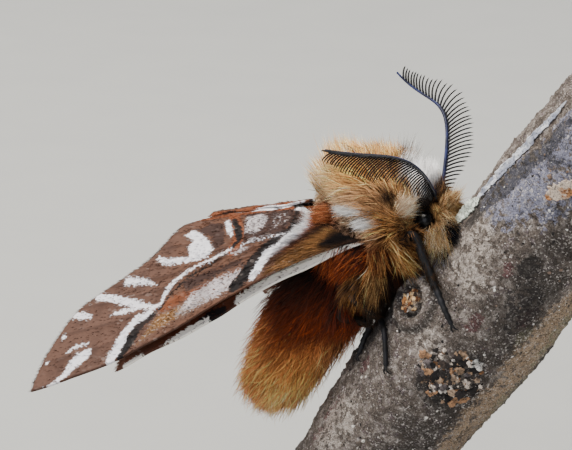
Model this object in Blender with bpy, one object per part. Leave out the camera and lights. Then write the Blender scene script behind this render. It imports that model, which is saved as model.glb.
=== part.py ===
"""A male Kentish glory moth (Endromis versicolora), life size, on a cut length of branch.

The moth clings to a leaning branch with its wings held like a roof.  It is a still museum
model: the branch is a short perch, and a flat base with one short rod carries the perch.

Sizes are in millimetres in the moth's own frame: X forward, Y to the moth's left, Z up, with
the zero point in the middle of the thorax.  MOTH_PLACE puts that point over the base.
Wings, legs and coat are written once and mirrored; Y is then measured out from the middle.
"""
import math
import random
from collections import namedtuple

import bmesh
import bpy
from mathutils import Matrix, Vector

MM = 0.001
GAP = 0.3
SPARE = 0.05
SLIVER = 0.001

# Place of the middle of the thorax over the middle of the base's underside
MOTH_PLACE = Vector((-4.5, 0.0, 28.2))
RIGHT, LEFT = -1, 1
SIDE_NAMES = {RIGHT: "right", LEFT: "left"}
UP = Vector((0.0, 0.0, 1.0))

# Thorax: an egg whose length dips towards the tail
THORAX_CENTRE = Vector((-0.5, 0.0, 0.3))
THORAX_DIP = math.radians(38)
THORAX_HALF = Vector((4.2, 3.6, 4.0))

# Head and eyes
HEAD_CENTRE = Vector((5.2, 0.0, 0.9))
HEAD_HALF = Vector((1.7, 1.6, 1.9))
EYE_PLACE = Vector((5.45, 1.5, 1.42))
EYE_RADIUS = 0.95

# Abdomen: hangs down and back from the thorax
ABDOMEN_ROUTE = (Vector((-1.9, 0.0, -3.6)), Vector((-4.6, 0.0, -6.6)),
                 Vector((-6.7, 0.0, -10.0)), Vector((-7.6, 0.0, -12.7)))
ABDOMEN_ROOT_RADIUS = 2.6
ABDOMEN_TIP_RADIUS = 1.3

# Coat: locks of hair.  Their sections give place along the lock, share of its depth, width
# and thickness
LockSize = namedtuple("LockSize", "depth reach width")
LOCK_SUNK = 0.7
LOCK_SECTIONS = ((0.0, 0.0, 1.0, 0.80), (0.32, 0.60, 1.1, 0.66), (0.70, 0.90, 0.8, 0.52))
THORAX_LOCKS = 72
THORAX_LOCK = LockSize(1.45, 2.4, 1.8)
THORAX_REAR_LESS = 1.0
THORAX_COLLAR_MORE = 0.75
COLLAR_WAY = Vector((0.62, 0.0, 0.78))
THORAX_FLOW = Vector((-0.70, 0.0, -0.60))
ABDOMEN_ROWS, ABDOMEN_ROW_LOCKS = 7, 7
ABDOMEN_LOCK = LockSize(0.85, 2.7, 1.9)
ABDOMEN_TIP_LOCKS = 7
ABDOMEN_TIP_LOCK = LockSize(0.9, 2.1, 1.3)
HEAD_LOCKS = 26
HEAD_LOCK = LockSize(0.55, 1.15, 0.95)
HEAD_FLOW = Vector((0.15, 0.0, -1.0))

# Antennae: shaft and two rows of comb teeth
ANTENNA_ROUTES = {
    RIGHT: (Vector((5.5, -0.45, 2.63)), Vector((5.97, -5.01, 7.46)),
            Vector((3.41, -4.53, 5.85)), Vector((-0.51, -5.76, 6.46))),
    LEFT: (Vector((5.48, 0.45, 2.65)), Vector((4.66, 5.02, 9.70)),
           Vector((3.19, 4.24, 7.29)), Vector((-0.02, 4.55, 10.06))),
}
ANTENNA_ROOT_RADIUS = 0.29
ANTENNA_TIP_RADIUS = 0.25
ROW_WAYS = {
    RIGHT: (Vector((0.02, -0.35, -0.95)), Vector((0.60, -0.80, 0.10))),
    LEFT: (Vector((0.80, 0.50, 0.20)), Vector((-0.10, 0.90, -0.30))),
}
RAYS_PER_ROW = 12
RAY_LENGTHS = {RIGHT: 2.2, LEFT: 1.85}
RAY_RADII = (0.32, 0.28, 0.10)
RAY_BEND = 0.35
RAY_TIP = 0.1

# Wings: a roof that is level beside the middle line and then slopes down to the front edge
WING_THICKNESS = 0.5
WING_MIDDLE_GAP = 0.45
RIDGE_HEIGHT = 0.48
RIDGE_AT = -6.1
RIDGE_PITCH = 0.243
ROOF_LEVEL_UNTIL = 0.06
ROOF_STEEP_FROM = 0.60
COSTA_ROOT = Vector((1.35, 3.2, -0.31))
FOREWING_APEX = Vector((-19.85, 14.0, -11.69))
VEIN_HEIGHT = 0.12
SCALLOP = 0.18
CUTTER_ROWS, CUTTER_COLUMNS = 8, 8

# Wing outlines seen from above: X, and distance out from the middle line
FOREWING_ROOT_BACK = Vector((-1.3, 3.1))
COSTA_WAVE = 0.55
FOREWING_TERMEN = (Vector((-19.85, 14.0)), Vector((-19.75, 11.6)), Vector((-18.6, 8.95)),
                   Vector((-16.1, 6.9)), Vector((-14.2, 5.0)), Vector((-13.7, 2.8)),
                   Vector((-13.2, 0.6)))
FOREWING_DORSUM = (FOREWING_ROOT_BACK, Vector((-3.4, 2.2)), Vector((-6.1, 0.8)),
                   Vector((-9.2, 0.5)), Vector((-13.2, 0.6)))
HINDWING_COSTA = (Vector((-0.2, 3.1)), Vector((-3.1, 4.5)), Vector((-6.2, 6.2)),
                  Vector((-9.1, 8.4)), Vector((-12.0, 10.4)), Vector((-14.2, 11.4)))
HINDWING_TERMEN = (Vector((-14.2, 11.4)), Vector((-14.3, 9.3)), Vector((-13.2, 6.6)),
                   Vector((-12.4, 4.2)), Vector((-11.6, 1.4)))
HINDWING_DORSUM = (Vector((-2.6, 3.0)), Vector((-5.2, 1.8)), Vector((-8.2, 1.1)),
                   Vector((-11.6, 1.4)))

# Perch: the branch's axis, between a lower and an upper mark, as it leans
PERCH_LOW = Vector((-0.17, 0.6, -17.44))
PERCH_HIGH = Vector((14.3, 2.0, 2.55))
PERCH_LOW_REACH = 6.0
PERCH_HIGH_REACH = 8.0
PERCH_LOW_RADIUS = 4.25
PERCH_SWELL = 1.15
PERCH_SWELL_FROM = -3.0
PERCH_SWELL_LENGTH = 13.0
PERCH_BUMP = 0.12
KNOT_STATION, KNOT_ANGLE = 12.2, 38.0
KNOT_RADII = (1.3, 1.3, 0.85)
KNOT_HEIGHT = 0.75

# Legs
SHANK_RADIUS = 0.34
FOOT_RADIUS = 0.27
FOOT_CLEAR = FOOT_RADIUS + GAP + PERCH_BUMP + SPARE
LEG_LOCK = LockSize(0.75, 1.5, 1.0)
LEG_FLOW = Vector((-0.25, -0.2, -1.0))
LEG_OUT = Vector((0.3, -1.0, 0.2))
LEG_LOCK_TURN = 0.9
LINK_LAP = 0.25

# Stand
BASE_SIZE = Vector((45.0, 34.0, 3.0))
BASE_CORNER = 3.2
BASE_BEVEL = 0.8
ROD_RADIUS = 1.5
ROD_PLACE = (4.3, 1.2)
ROD_REACH = 8.0

PERCH_ALONG = (PERCH_HIGH - PERCH_LOW).normalized()
PERCH_OVER = PERCH_ALONG.cross(Vector((0.0, 1.0, 0.0))).normalized()
PERCH_NEAR = PERCH_ALONG.cross(PERCH_OVER).normalized()
PERCH_LENGTH = (PERCH_HIGH - PERCH_LOW).length


def smooth(value):
    """Smooth step of a value held between 0 and 1."""
    held = min(max(value, 0.0), 1.0)
    return held * held * (3.0 - 2.0 * held)


def bezier(points, t):
    """Point at t on the cubic curve with these four control points."""
    a, b, c, d = points
    u = 1.0 - t
    return a * u ** 3 + b * (3 * u * u * t) + c * (3 * u * t * t) + d * t ** 3


def heading(points, t):
    """Direction of the same curve at t."""
    step = 0.02
    return (bezier(points, min(t + step, 1.0)) - bezier(points, max(t - step, 0.0))).normalized()


def catmull(points, t):
    """Point at t on a smooth curve through all the points, evenly spaced in t."""
    last = len(points) - 1
    at = t * last
    k = min(max(int(at), 0), last - 1)
    u = at - k
    p1, p2 = points[k], points[k + 1]
    p0 = points[k - 1] if k else p1 * 2 - p2
    p3 = points[k + 2] if k + 2 <= last else p2 * 2 - p1
    return (p1 * 2 + (p2 - p0) * u + (p0 * 2 - p1 * 5 + p2 * 4 - p3) * u * u
            + (p1 * 3 - p0 - p2 * 3 + p3) * u ** 3) * 0.5


def mirrored(point, side):
    """A point or direction with its Y turned to the named side."""
    return Vector((point.x, point.y * side, point.z))


def square_to(way, axis):
    """The part of a direction that is square to an axis."""
    return (way - axis * way.dot(axis)).normalized()


def make_material(name, colour, roughness, metallic=0.0):
    """A plain Principled material."""
    material = bpy.data.materials.new(name)
    material.use_nodes = True
    shader = material.node_tree.nodes["Principled BSDF"]
    shader.inputs["Base Color"].default_value = (*colour, 1.0)
    shader.inputs["Roughness"].default_value = roughness
    shader.inputs["Metallic"].default_value = metallic
    material.diffuse_color = (*colour, 1.0)
    return material


def bake_modifiers(obj):
    """Put the evaluated mesh in place of the object's own and drop its modifiers."""
    bpy.context.view_layer.update()
    evaluated = obj.evaluated_get(bpy.context.evaluated_depsgraph_get())
    mesh = bpy.data.meshes.new_from_object(evaluated)
    obj.modifiers.clear()
    old = obj.data
    obj.data = mesh
    mesh.name = obj.name
    bpy.data.meshes.remove(old)


def surface_volume(faces):
    """Volume inside a closed set of faces."""
    total = 0.0
    for face in faces:
        corners = [vert.co for vert in face.verts]
        for k in range(1, len(corners) - 1):
            total += corners[0].dot(corners[k].cross(corners[k + 1])) / 6.0
    return abs(total)


def keep_largest_surface(obj):
    """Drop slivers, and keep only the closed surface with the most volume."""
    bm = bmesh.new()
    bm.from_mesh(obj.data)
    bmesh.ops.dissolve_degenerate(bm, dist=SLIVER * MM, edges=bm.edges)
    left = set(bm.faces)
    shells = []
    while left:
        stack = [left.pop()]
        shell = set(stack)
        while stack:
            for edge in stack.pop().edges:
                for face in edge.link_faces:
                    if face in left:
                        left.remove(face)
                        shell.add(face)
                        stack.append(face)
        shells.append(shell)
    shells.sort(key=surface_volume, reverse=True)
    scraps = [face for shell in shells[1:] for face in shell]
    bmesh.ops.delete(bm, geom=scraps, context="FACES")
    bm.to_mesh(obj.data)
    bm.free()


class Maker:
    """Makes objects from bmeshes in millimetres, all hung on one empty."""

    def __init__(self):
        self.origin = bpy.data.objects.new("moth_place", None)
        self.origin.location = MOTH_PLACE * MM
        bpy.context.scene.collection.objects.link(self.origin)

    def add(self, name, bm, material=None, on_origin=True):
        """Turn a bmesh into a named object."""
        bmesh.ops.scale(bm, vec=(MM, MM, MM), verts=bm.verts)
        bmesh.ops.recalc_face_normals(bm, faces=bm.faces)
        mesh = bpy.data.meshes.new(name)
        bm.to_mesh(mesh)
        bm.free()
        if material:
            mesh.materials.append(material)
        obj = bpy.data.objects.new(name, mesh)
        bpy.context.scene.collection.objects.link(obj)
        if on_origin:
            obj.parent = self.origin
        return obj

    def change(self, obj, forms, operation):
        """Join or cut an object with a list of forms in one Boolean step."""
        helpers = [form if isinstance(form, bpy.types.Object) else self.add("helper", form)
                   for form in forms]
        group = bpy.data.collections.new("helpers")
        bpy.context.scene.collection.children.link(group)
        for helper in helpers:
            group.objects.link(helper)
        modifier = obj.modifiers.new(operation.lower(), "BOOLEAN")
        modifier.operand_type = "COLLECTION"
        modifier.collection = group
        modifier.operation = operation
        modifier.solver = "MANIFOLD"
        bake_modifiers(obj)
        for helper in helpers:
            mesh = helper.data
            bpy.data.objects.remove(helper, do_unlink=True)
            bpy.data.meshes.remove(mesh)
        bpy.data.collections.remove(group)

    def joined(self, name, forms, material):
        """One object from a core form and the forms rooted in it."""
        obj = self.add(name, forms[0], material)
        self.change(obj, forms[1:], "UNION")
        return obj

    def cut(self, obj, forms):
        """Cut an object clear of forms that are already grown by the gap."""
        self.change(obj, forms, "DIFFERENCE")

    def coated(self, name, core, locks, cutters, material):
        """A core with its locks of hair, the locks first cut clear of what passes them."""
        coat = self.joined("coat", locks, material)
        self.cut(coat, cutters)
        obj = self.add(name, core, material)
        self.change(obj, [coat], "UNION")
        return obj


def finish_shading(obj):
    """Keep one closed surface and shade its round stretches smooth."""
    keep_largest_surface(obj)
    obj.data.shade_smooth()
    obj.data.set_sharp_from_angle(angle=math.radians(40))


def egg(centre, half, dip=0.0, grown=0.0, segments=20, rings=12):
    """A closed egg: half lengths along X, Y and Z, dipped about Y, and grown all round."""
    bm = bmesh.new()
    bmesh.ops.create_uvsphere(bm, u_segments=segments, v_segments=rings, radius=1.0)
    # The poles lie along the egg's length
    bmesh.ops.rotate(bm, verts=bm.verts, matrix=Matrix.Rotation(math.pi / 2, 3, "Y"))
    bmesh.ops.scale(bm, vec=half + Vector((grown, grown, grown)), verts=bm.verts)
    bmesh.ops.rotate(bm, verts=bm.verts, matrix=Matrix.Rotation(-dip, 3, "Y"))
    bmesh.ops.translate(bm, vec=centre, verts=bm.verts)
    return bm


def skin_rings(bm, rings, tip=None):
    """Close a row of rings with side faces and ends; a tip makes the last end a point."""
    for low, high in zip(rings, rings[1:]):
        for n, here in enumerate(low):
            m = (n + 1) % len(low)
            bm.faces.new((here, low[m], high[m]))
            bm.faces.new((here, high[m], high[n]))
    bm.faces.new(rings[0][::-1])
    if tip is None:
        bm.faces.new(rings[-1])
        return
    point = bm.verts.new(tip)
    for n, here in enumerate(rings[-1]):
        bm.faces.new((here, rings[-1][(n + 1) % len(rings[-1])], point))


def tube(points, radii, sides=8, tip=None, up=UP):
    """A closed tube through the points, its rings turned as little as the route allows."""
    bm = bmesh.new()
    rings = []
    over = up
    for k, point in enumerate(points):
        before = points[max(k - 1, 0)]
        after = points[min(k + 1, len(points) - 1)]
        along = (after - before).normalized()
        over = square_to(over, along)
        across = along.cross(over)
        ring = []
        for n in range(sides):
            turn = math.tau * n / sides
            way = across * math.cos(turn) + over * math.sin(turn)
            ring.append(bm.verts.new(point + way * radii[k]))
        rings.append(ring)
    skin_rings(bm, rings, tip)
    return bm


def links(points, radii, sides=8):
    """Short tubes that overlap along a route, to cut round its tight bends."""
    forms = []
    for k in range(len(points) - 1):
        lap = (points[k + 1] - points[k]).normalized() * LINK_LAP
        forms.append(tube([points[k] - lap, points[k + 1] + lap], radii[k:k + 2], sides))
    return forms


def lock_form(root, normal, lie, size, vary=1.0, sway=0.0, grown=0.0):
    """A flat, tapered lock of hair: it leaves the skin and bends over along its lie."""
    across = lie.cross(normal).normalized()
    depth, reach, width = size.depth * vary, size.reach * vary, size.width

    def middle(t, rise):
        sunk = LOCK_SUNK * (1.0 - min(t * 4, 1.0))
        return (root + normal * (depth * rise - sunk) + lie * (reach * t)
                + across * (sway * t * t))

    tip = middle(1.0, 1.0)
    places = [middle(t, rise) for t, rise, _, _ in LOCK_SECTIONS] + [tip]
    bm = bmesh.new()
    rings = []
    for k, (_, _, wide, thick) in enumerate(LOCK_SECTIONS):
        along = (places[k + 1] - places[max(k - 1, 0)]).normalized()
        over = square_to(normal, along) if k else square_to(-lie, along)
        half_wide = across * (width * wide / 2 + grown)
        half_thick = over * (thick / 2 + grown)
        corners = (half_wide - half_thick * 0.2, half_thick, -half_wide - half_thick * 0.2,
                   -half_thick)
        rings.append([bm.verts.new(places[k] + corner) for corner in corners])
    onward = (tip - places[-2]).normalized()
    skin_rings(bm, rings, tip + onward * grown)
    return bm


def thorax_form(grown=0.0):
    """The thorax's core."""
    return egg(THORAX_CENTRE, THORAX_HALF, THORAX_DIP, grown)


def head_form(grown=0.0):
    """The head's core."""
    return egg(HEAD_CENTRE, HEAD_HALF, 0.0, grown, 16, 10)


def eye_form(side, grown=0.0):
    """One eye."""
    ball = Vector((EYE_RADIUS, EYE_RADIUS, EYE_RADIUS))
    return egg(mirrored(EYE_PLACE, side), ball, 0.0, grown, 12, 8)


def egg_skin(centre, half, dip, way):
    """Point and normal of an egg's surface in a direction given in the egg's own axes."""
    turn = Matrix.Rotation(-dip, 3, "Y")
    point = centre + turn @ Vector((way.x * half.x, way.y * half.y, way.z * half.z))
    normal = turn @ Vector((way.x / half.x, way.y / half.y, way.z / half.z)).normalized()
    return point, normal


def spread_ways(count):
    """Directions spread evenly round a ball."""
    golden = math.pi * (3.0 - math.sqrt(5.0))
    for k in range(count):
        x = 1.0 - 2.0 * (k + 0.5) / count
        round_x = math.sqrt(1.0 - x * x)
        yield Vector((x, round_x * math.cos(golden * k), round_x * math.sin(golden * k)))


def thorax_locks(grown=0.0):
    """The thorax's coat: swept back over the sides, standing on the back and collar."""
    draw = random.Random(11)
    forms = []
    for way in spread_ways(THORAX_LOCKS):
        root, normal = egg_skin(THORAX_CENTRE, THORAX_HALF, THORAX_DIP, way)
        vary = draw.uniform(0.88, 1.12)
        sway = draw.uniform(-0.35, 0.35)
        towards_head = (root - HEAD_CENTRE).length < 2.9
        over_abdomen = (root - bezier(ABDOMEN_ROUTE, 0.12)).length < 2.7
        if towards_head or over_abdomen:
            continue
        collar = max(normal.dot(COLLAR_WAY), 0.0) ** 3
        rear = max(normal.dot(Vector((-1.0, 0.0, 0.1))), 0.0) ** 2
        lie = square_to(THORAX_FLOW, normal)
        size = THORAX_LOCK._replace(
            depth=THORAX_LOCK.depth - THORAX_REAR_LESS * rear + THORAX_COLLAR_MORE * collar,
            reach=THORAX_LOCK.reach * (1.0 - 0.45 * collar))
        forms.append(lock_form(root, normal, lie, size, vary, sway, grown))
    return forms


def head_locks(grown=0.0):
    """The face's short coat, lying down over the brow and cheeks to the mouth."""
    draw = random.Random(5)
    forms = []
    for way in spread_ways(HEAD_LOCKS):
        root, normal = egg_skin(HEAD_CENTRE, HEAD_HALF, 0.0, way)
        vary = draw.uniform(0.85, 1.1)
        at_eye = any((root - mirrored(EYE_PLACE, side)).length < EYE_RADIUS + 0.25
                     for side in (RIGHT, LEFT))
        at_antenna = any((root - ANTENNA_ROUTES[side][0]).length < 0.7 for side in (RIGHT, LEFT))
        if at_eye or at_antenna or way.x < -0.35 or way.z < -0.86:
            continue
        lie = square_to(HEAD_FLOW, normal)
        forms.append(lock_form(root, normal, lie, HEAD_LOCK, vary, 0.0, grown))
    return forms


def abdomen_radius(t):
    """Radius of the abdomen's core at t from its root to its tip."""
    return ABDOMEN_ROOT_RADIUS + (ABDOMEN_TIP_RADIUS - ABDOMEN_ROOT_RADIUS) * t


def abdomen_form(grown=0.0, rings=8):
    """The abdomen's core, rounded at its tip."""
    points = [bezier(ABDOMEN_ROUTE, k / rings) for k in range(rings + 1)]
    points[0] -= heading(ABDOMEN_ROUTE, 0.0) * grown
    radii = [abdomen_radius(k / rings) + grown for k in range(rings + 1)]
    onward = heading(ABDOMEN_ROUTE, 1.0)
    end = points[-1]
    for part in (0.5, 0.85):
        points.append(end + onward * radii[rings] * part)
        radii.append(radii[rings] * math.sqrt(1.0 - part * part))
    return tube(points, radii, 14, tip=end + onward * radii[rings])


def abdomen_locks():
    """The abdomen's coat: rows of long locks towards the tail, and the tuft at its tip."""
    draw = random.Random(23)
    forms = []
    for row in range(ABDOMEN_ROWS):
        t = 0.10 + 0.86 * row / (ABDOMEN_ROWS - 1)
        along = heading(ABDOMEN_ROUTE, t)
        over = square_to(Vector((-1.0, 0.0, 0.4)), along)
        across = along.cross(over)
        for k in range(ABDOMEN_ROW_LOCKS):
            turn = math.tau * (k + 0.5 * (row % 2)) / ABDOMEN_ROW_LOCKS + draw.uniform(-0.15, 0.15)
            normal = over * math.cos(turn) + across * math.sin(turn)
            root = bezier(ABDOMEN_ROUTE, t) + normal * abdomen_radius(t)
            vary = draw.uniform(0.85, 1.15)
            droop = square_to(along + Vector((0.0, 0.0, -0.3)), normal)
            size = ABDOMEN_LOCK._replace(width=ABDOMEN_LOCK.width * (1.0 - 0.25 * t))
            forms.append(lock_form(root, normal, droop, size, vary, draw.uniform(-0.4, 0.4)))
    onward = heading(ABDOMEN_ROUTE, 1.0)
    over = square_to(Vector((-1.0, 0.0, 0.4)), onward)
    across = onward.cross(over)
    end = bezier(ABDOMEN_ROUTE, 1.0)
    for k in range(ABDOMEN_TIP_LOCKS):
        turn = math.tau * k / ABDOMEN_TIP_LOCKS
        side_way = over * math.cos(turn) + across * math.sin(turn)
        normal = (side_way + onward).normalized()
        root = end + normal * ABDOMEN_TIP_RADIUS
        forms.append(lock_form(root, normal, square_to(onward, normal), ABDOMEN_TIP_LOCK,
                               draw.uniform(0.85, 1.15), draw.uniform(-0.3, 0.3)))
    return forms


def roof_share(w):
    """How much of its drop the roof has made at w of its half width."""
    run = ROOF_STEEP_FROM - ROOF_LEVEL_UNTIL

    def fallen(at):
        held = min(max((at - ROOF_LEVEL_UNTIL) / run, 0.0), 1.0)
        return run * (held ** 3 - held ** 4 / 2) + max(at - ROOF_STEEP_FROM, 0.0)

    return fallen(w) / fallen(1.0)


def roof_height(x, out):
    """Height of the forewing's upper face at x, this far out from the middle line."""
    run = (COSTA_ROOT.x - x) / (COSTA_ROOT.x - FOREWING_APEX.x)
    costa_out = COSTA_ROOT.y + run * (FOREWING_APEX.y - COSTA_ROOT.y)
    costa_z = COSTA_ROOT.z + run * (FOREWING_APEX.z - COSTA_ROOT.z)
    ridge_z = RIDGE_HEIGHT + RIDGE_PITCH * (x - RIDGE_AT)
    w = (out - WING_MIDDLE_GAP) / (costa_out - WING_MIDDLE_GAP)
    return ridge_z - (ridge_z - costa_z) * roof_share(w)


def roof_point(x, out, depth):
    """Point this deep under the roof's upper face, square to the face."""
    step = 0.05
    z = roof_height(x, out)
    slope_x = (roof_height(x + step, out) - z) / step
    slope_y = (roof_height(x, out + step) - z) / step
    normal = Vector((-slope_x, -slope_y, 1.0)).normalized()
    return Vector((x, out, z)) - normal * depth


def forewing_costa(s):
    """The forewing's front edge, a line with a slight wave, seen from above."""
    root = Vector((COSTA_ROOT.x, COSTA_ROOT.y))
    return root.lerp(FOREWING_TERMEN[0], s) - Vector((0.0, COSTA_WAVE * math.sin(math.tau * s)))


def hindwing_costa(s):
    """The hindwing's front edge, seen from above."""
    return catmull(HINDWING_COSTA, s)


class Wing:
    """One pair of wings: outline, depth under the roof, and the rows and columns of its sheet."""

    def __init__(self, name, costa, termen, dorsum, depth, rows, columns):
        self.name = name
        self.costa = costa
        self.termen = termen
        self.dorsum = dorsum
        self.depth = depth
        self.rows = rows
        self.columns = columns

    def plan(self, s, t):
        """Place on the outline's own net: s from root to outer edge, t from front to back."""
        root_front, root_back = self.costa(0.0), self.dorsum[0]
        apex, tornus = self.termen[0], self.termen[-1]
        across = self.costa(s).lerp(catmull(self.dorsum, s), t)
        along = root_front.lerp(root_back, t).lerp(catmull(self.termen, t), s)
        return across + along - root_front.lerp(apex, s).lerp(root_back.lerp(tornus, s), t)

    def form(self, side, grown=0.0):
        """A closed sheet with veins raised on its upper face and a scalloped outer edge."""
        over = grown / 20.0
        row_count, columns = (CUTTER_ROWS, CUTTER_COLUMNS) if grown else (self.rows, self.columns)
        sheets = ([], [])
        bm = bmesh.new()
        for i in range(row_count + 1):
            s = i / row_count
            rows = ([], [])
            for j in range(columns + 1):
                t = j / columns
                on_vein = j % 2 == 0 or bool(grown)
                place = self.plan(s * (1 + 2 * over) - over, t * (1 + 4 * over) - 2 * over)
                if i == row_count and not on_vein:
                    place = place.lerp(self.plan(0.9, t), SCALLOP / 1.5)
                rise = VEIN_HEIGHT * smooth(s / 0.4) if on_vein else 0.0
                for row, deep in zip(rows, (-rise - grown, WING_THICKNESS + grown)):
                    point = roof_point(place.x, place.y, self.depth + deep)
                    row.append(bm.verts.new(mirrored(point, side)))
            for sheet, row in zip(sheets, rows):
                sheet.append(row)
        for sheet in sheets:
            for low, high in zip(sheet, sheet[1:]):
                for j in range(columns):
                    bm.faces.new((low[j], low[j + 1], high[j + 1]))
                    bm.faces.new((low[j], high[j + 1], high[j]))
        rims = [sheet[0] + [row[-1] for row in sheet[1:]] + sheet[-1][-2::-1]
                + [row[0] for row in sheet[-2:0:-1]] for sheet in sheets]
        for k, here in enumerate(rims[0]):
            m = (k + 1) % len(rims[0])
            bm.faces.new((here, rims[0][m], rims[1][m]))
            bm.faces.new((here, rims[1][m], rims[1][k]))
        return bm


FOREWING = Wing("forewing", forewing_costa, FOREWING_TERMEN, FOREWING_DORSUM, 0.0, 13, 18)
HINDWING = Wing("hindwing", hindwing_costa, HINDWING_TERMEN, HINDWING_DORSUM,
                WING_THICKNESS + GAP + VEIN_HEIGHT + SPARE, 9, 12)


def perch_radius(station):
    """Radius of the branch at a distance along its axis from the lower mark."""
    return PERCH_LOW_RADIUS + PERCH_SWELL * smooth(
        (station - PERCH_SWELL_FROM) / PERCH_SWELL_LENGTH)


def perch_point(station, angle, above=0.0):
    """Point over the branch's bark; the angle turns from the moth's side to its right."""
    turn = math.radians(angle)
    out = PERCH_OVER * math.cos(turn) + PERCH_NEAR * math.sin(turn)
    return PERCH_LOW + PERCH_ALONG * station + out * (perch_radius(station) + above)


def perch_form(grown=0.0, rings=12, sides=18):
    """The branch, with slow bumps along and round it."""
    start, end = -PERCH_LOW_REACH - grown, PERCH_LENGTH + PERCH_HIGH_REACH + grown
    bm = bmesh.new()
    loops = []
    for k in range(rings + 1):
        station = start + (end - start) * k / rings
        loop = []
        for n in range(sides):
            angle = 360.0 * n / sides
            bump = PERCH_BUMP * math.sin(station * 0.55 + math.radians(angle) * 2)
            loop.append(bm.verts.new(perch_point(station, angle, grown + bump)))
        loops.append(loop)
    skin_rings(bm, loops)
    return bm


def knot_form(grown=0.0):
    """The stub of a side twig, cut off short on the branch's right."""
    foot = perch_point(KNOT_STATION, KNOT_ANGLE, -1.2)
    face = perch_point(KNOT_STATION, KNOT_ANGLE, KNOT_HEIGHT + grown)
    return tube([foot, foot.lerp(face, 0.7), face], [radius + grown for radius in KNOT_RADII], 12)


def branch_cutters():
    """The branch and its knot, grown by the gap."""
    return [perch_form(GAP), knot_form(GAP)]


class Leg:
    """Route of one leg for the right side: hip in the body, knee, and steps on the bark."""

    def __init__(self, name, hip, knee, steps, thigh_radius, locks):
        self.name = name
        self.hip = hip
        self.knee = knee
        self.steps = steps
        self.thigh_radius = thigh_radius
        self.locks = locks

    def joints(self, side):
        """Hip, knee and feet on the named side."""
        turn = 1 if side == RIGHT else -1
        feet = [perch_point(station, angle * turn, FOOT_CLEAR) for station, angle in self.steps]
        hip, knee = mirrored(self.hip, -side), mirrored(self.knee, -side)
        return [hip, hip.lerp(knee, 0.5), knee, knee.lerp(feet[0], 0.5)] + feet

    def forms(self, side, grown=0.0):
        """Thick thigh, thinner shank, slender foot along the bark, and locks on the thigh."""
        joints = self.joints(side)
        radii = [self.thigh_radius, self.thigh_radius, SHANK_RADIUS * 1.2, SHANK_RADIUS]
        radii += [FOOT_RADIUS] * (len(joints) - len(radii))
        points, sizes = [], []
        steps = 2 * (len(joints) - 1)
        for k in range(steps + 1):
            at = k / 2
            low = min(int(at), len(joints) - 2)
            points.append(catmull(joints, k / steps))
            sizes.append(radii[low] + (radii[low + 1] - radii[low]) * (at - low) + grown)
        forms = links(points, sizes, 6) if grown else [tube(points, sizes, 6)]
        hip, knee = joints[0], joints[2]
        along = (knee - hip).normalized()
        outward = square_to(mirrored(LEG_OUT, -side), along)
        for k in range(self.locks):
            turn = Matrix.Rotation(LEG_LOCK_TURN * (k % 2 * 2 - 1), 3, along)
            normal = turn @ outward
            root = hip.lerp(knee, 0.55 + 0.42 * k / (self.locks - 1))
            root += normal * self.thigh_radius * 0.6
            lie = square_to(mirrored(LEG_FLOW, -side), normal)
            forms.append(lock_form(root, normal, lie, LEG_LOCK, grown=grown))
        return forms


LEGS = (
    Leg("fore", Vector((3.0, -1.7, -1.3)), Vector((5.1, -3.0, 0.3)),
        ((15.8, 63.0), (15.3, 78.0), (14.8, 90.0)), 0.6, 3),
    Leg("mid", Vector((0.9, -1.9, -2.4)), Vector((0.9, -4.2, -4.3)),
        ((10.2, 36.0), (10.3, 50.0), (9.8, 60.0), (8.8, 72.0)), 0.7, 4),
    Leg("hind", Vector((-1.2, -1.6, -2.4)), Vector((-0.6, -3.1, -6.2)),
        ((9.0, 30.0), (8.2, 37.0), (7.3, 43.0)), 0.7, 3),
)


def ray_length(side, t):
    """Length of a comb tooth at t along the antenna: short at both ends."""
    rise = smooth(t / 0.22)
    fall = smooth((1.0 - t) / 0.5)
    return RAY_LENGTHS[side] * (0.30 + 0.70 * rise) * (0.40 + 0.60 * fall)


def antenna_forms(side, grown=0.0):
    """The shaft and both rows of comb teeth, each tooth bent a little towards the tip."""
    route = ANTENNA_ROUTES[side]
    rings = 13
    points = [bezier(route, k / rings) for k in range(rings + 1)]
    radii = [ANTENNA_ROOT_RADIUS + (ANTENNA_TIP_RADIUS - ANTENNA_ROOT_RADIUS) * k / rings + grown
             for k in range(rings + 1)]
    forms = [tube(points, radii, 6)]
    for row in (0, 1):
        for k in range(RAYS_PER_ROW):
            t = 0.09 + 0.88 * (k + 0.25 * row) / RAYS_PER_ROW
            along = heading(route, t)
            way = square_to(ROW_WAYS[side][row], along)
            root = bezier(route, t)
            length = ray_length(side, t)
            stops = [root + (way + along * RAY_BEND * share * share) * length * share
                     for share in (0.0, 0.6, 1.0)]
            onward = (stops[2] - stops[1]).normalized()
            tip = stops[2] + onward * (RAY_TIP + grown)
            forms.append(tube(stops, [radius + grown for radius in RAY_RADII], 3, tip=tip))
    return forms


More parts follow.
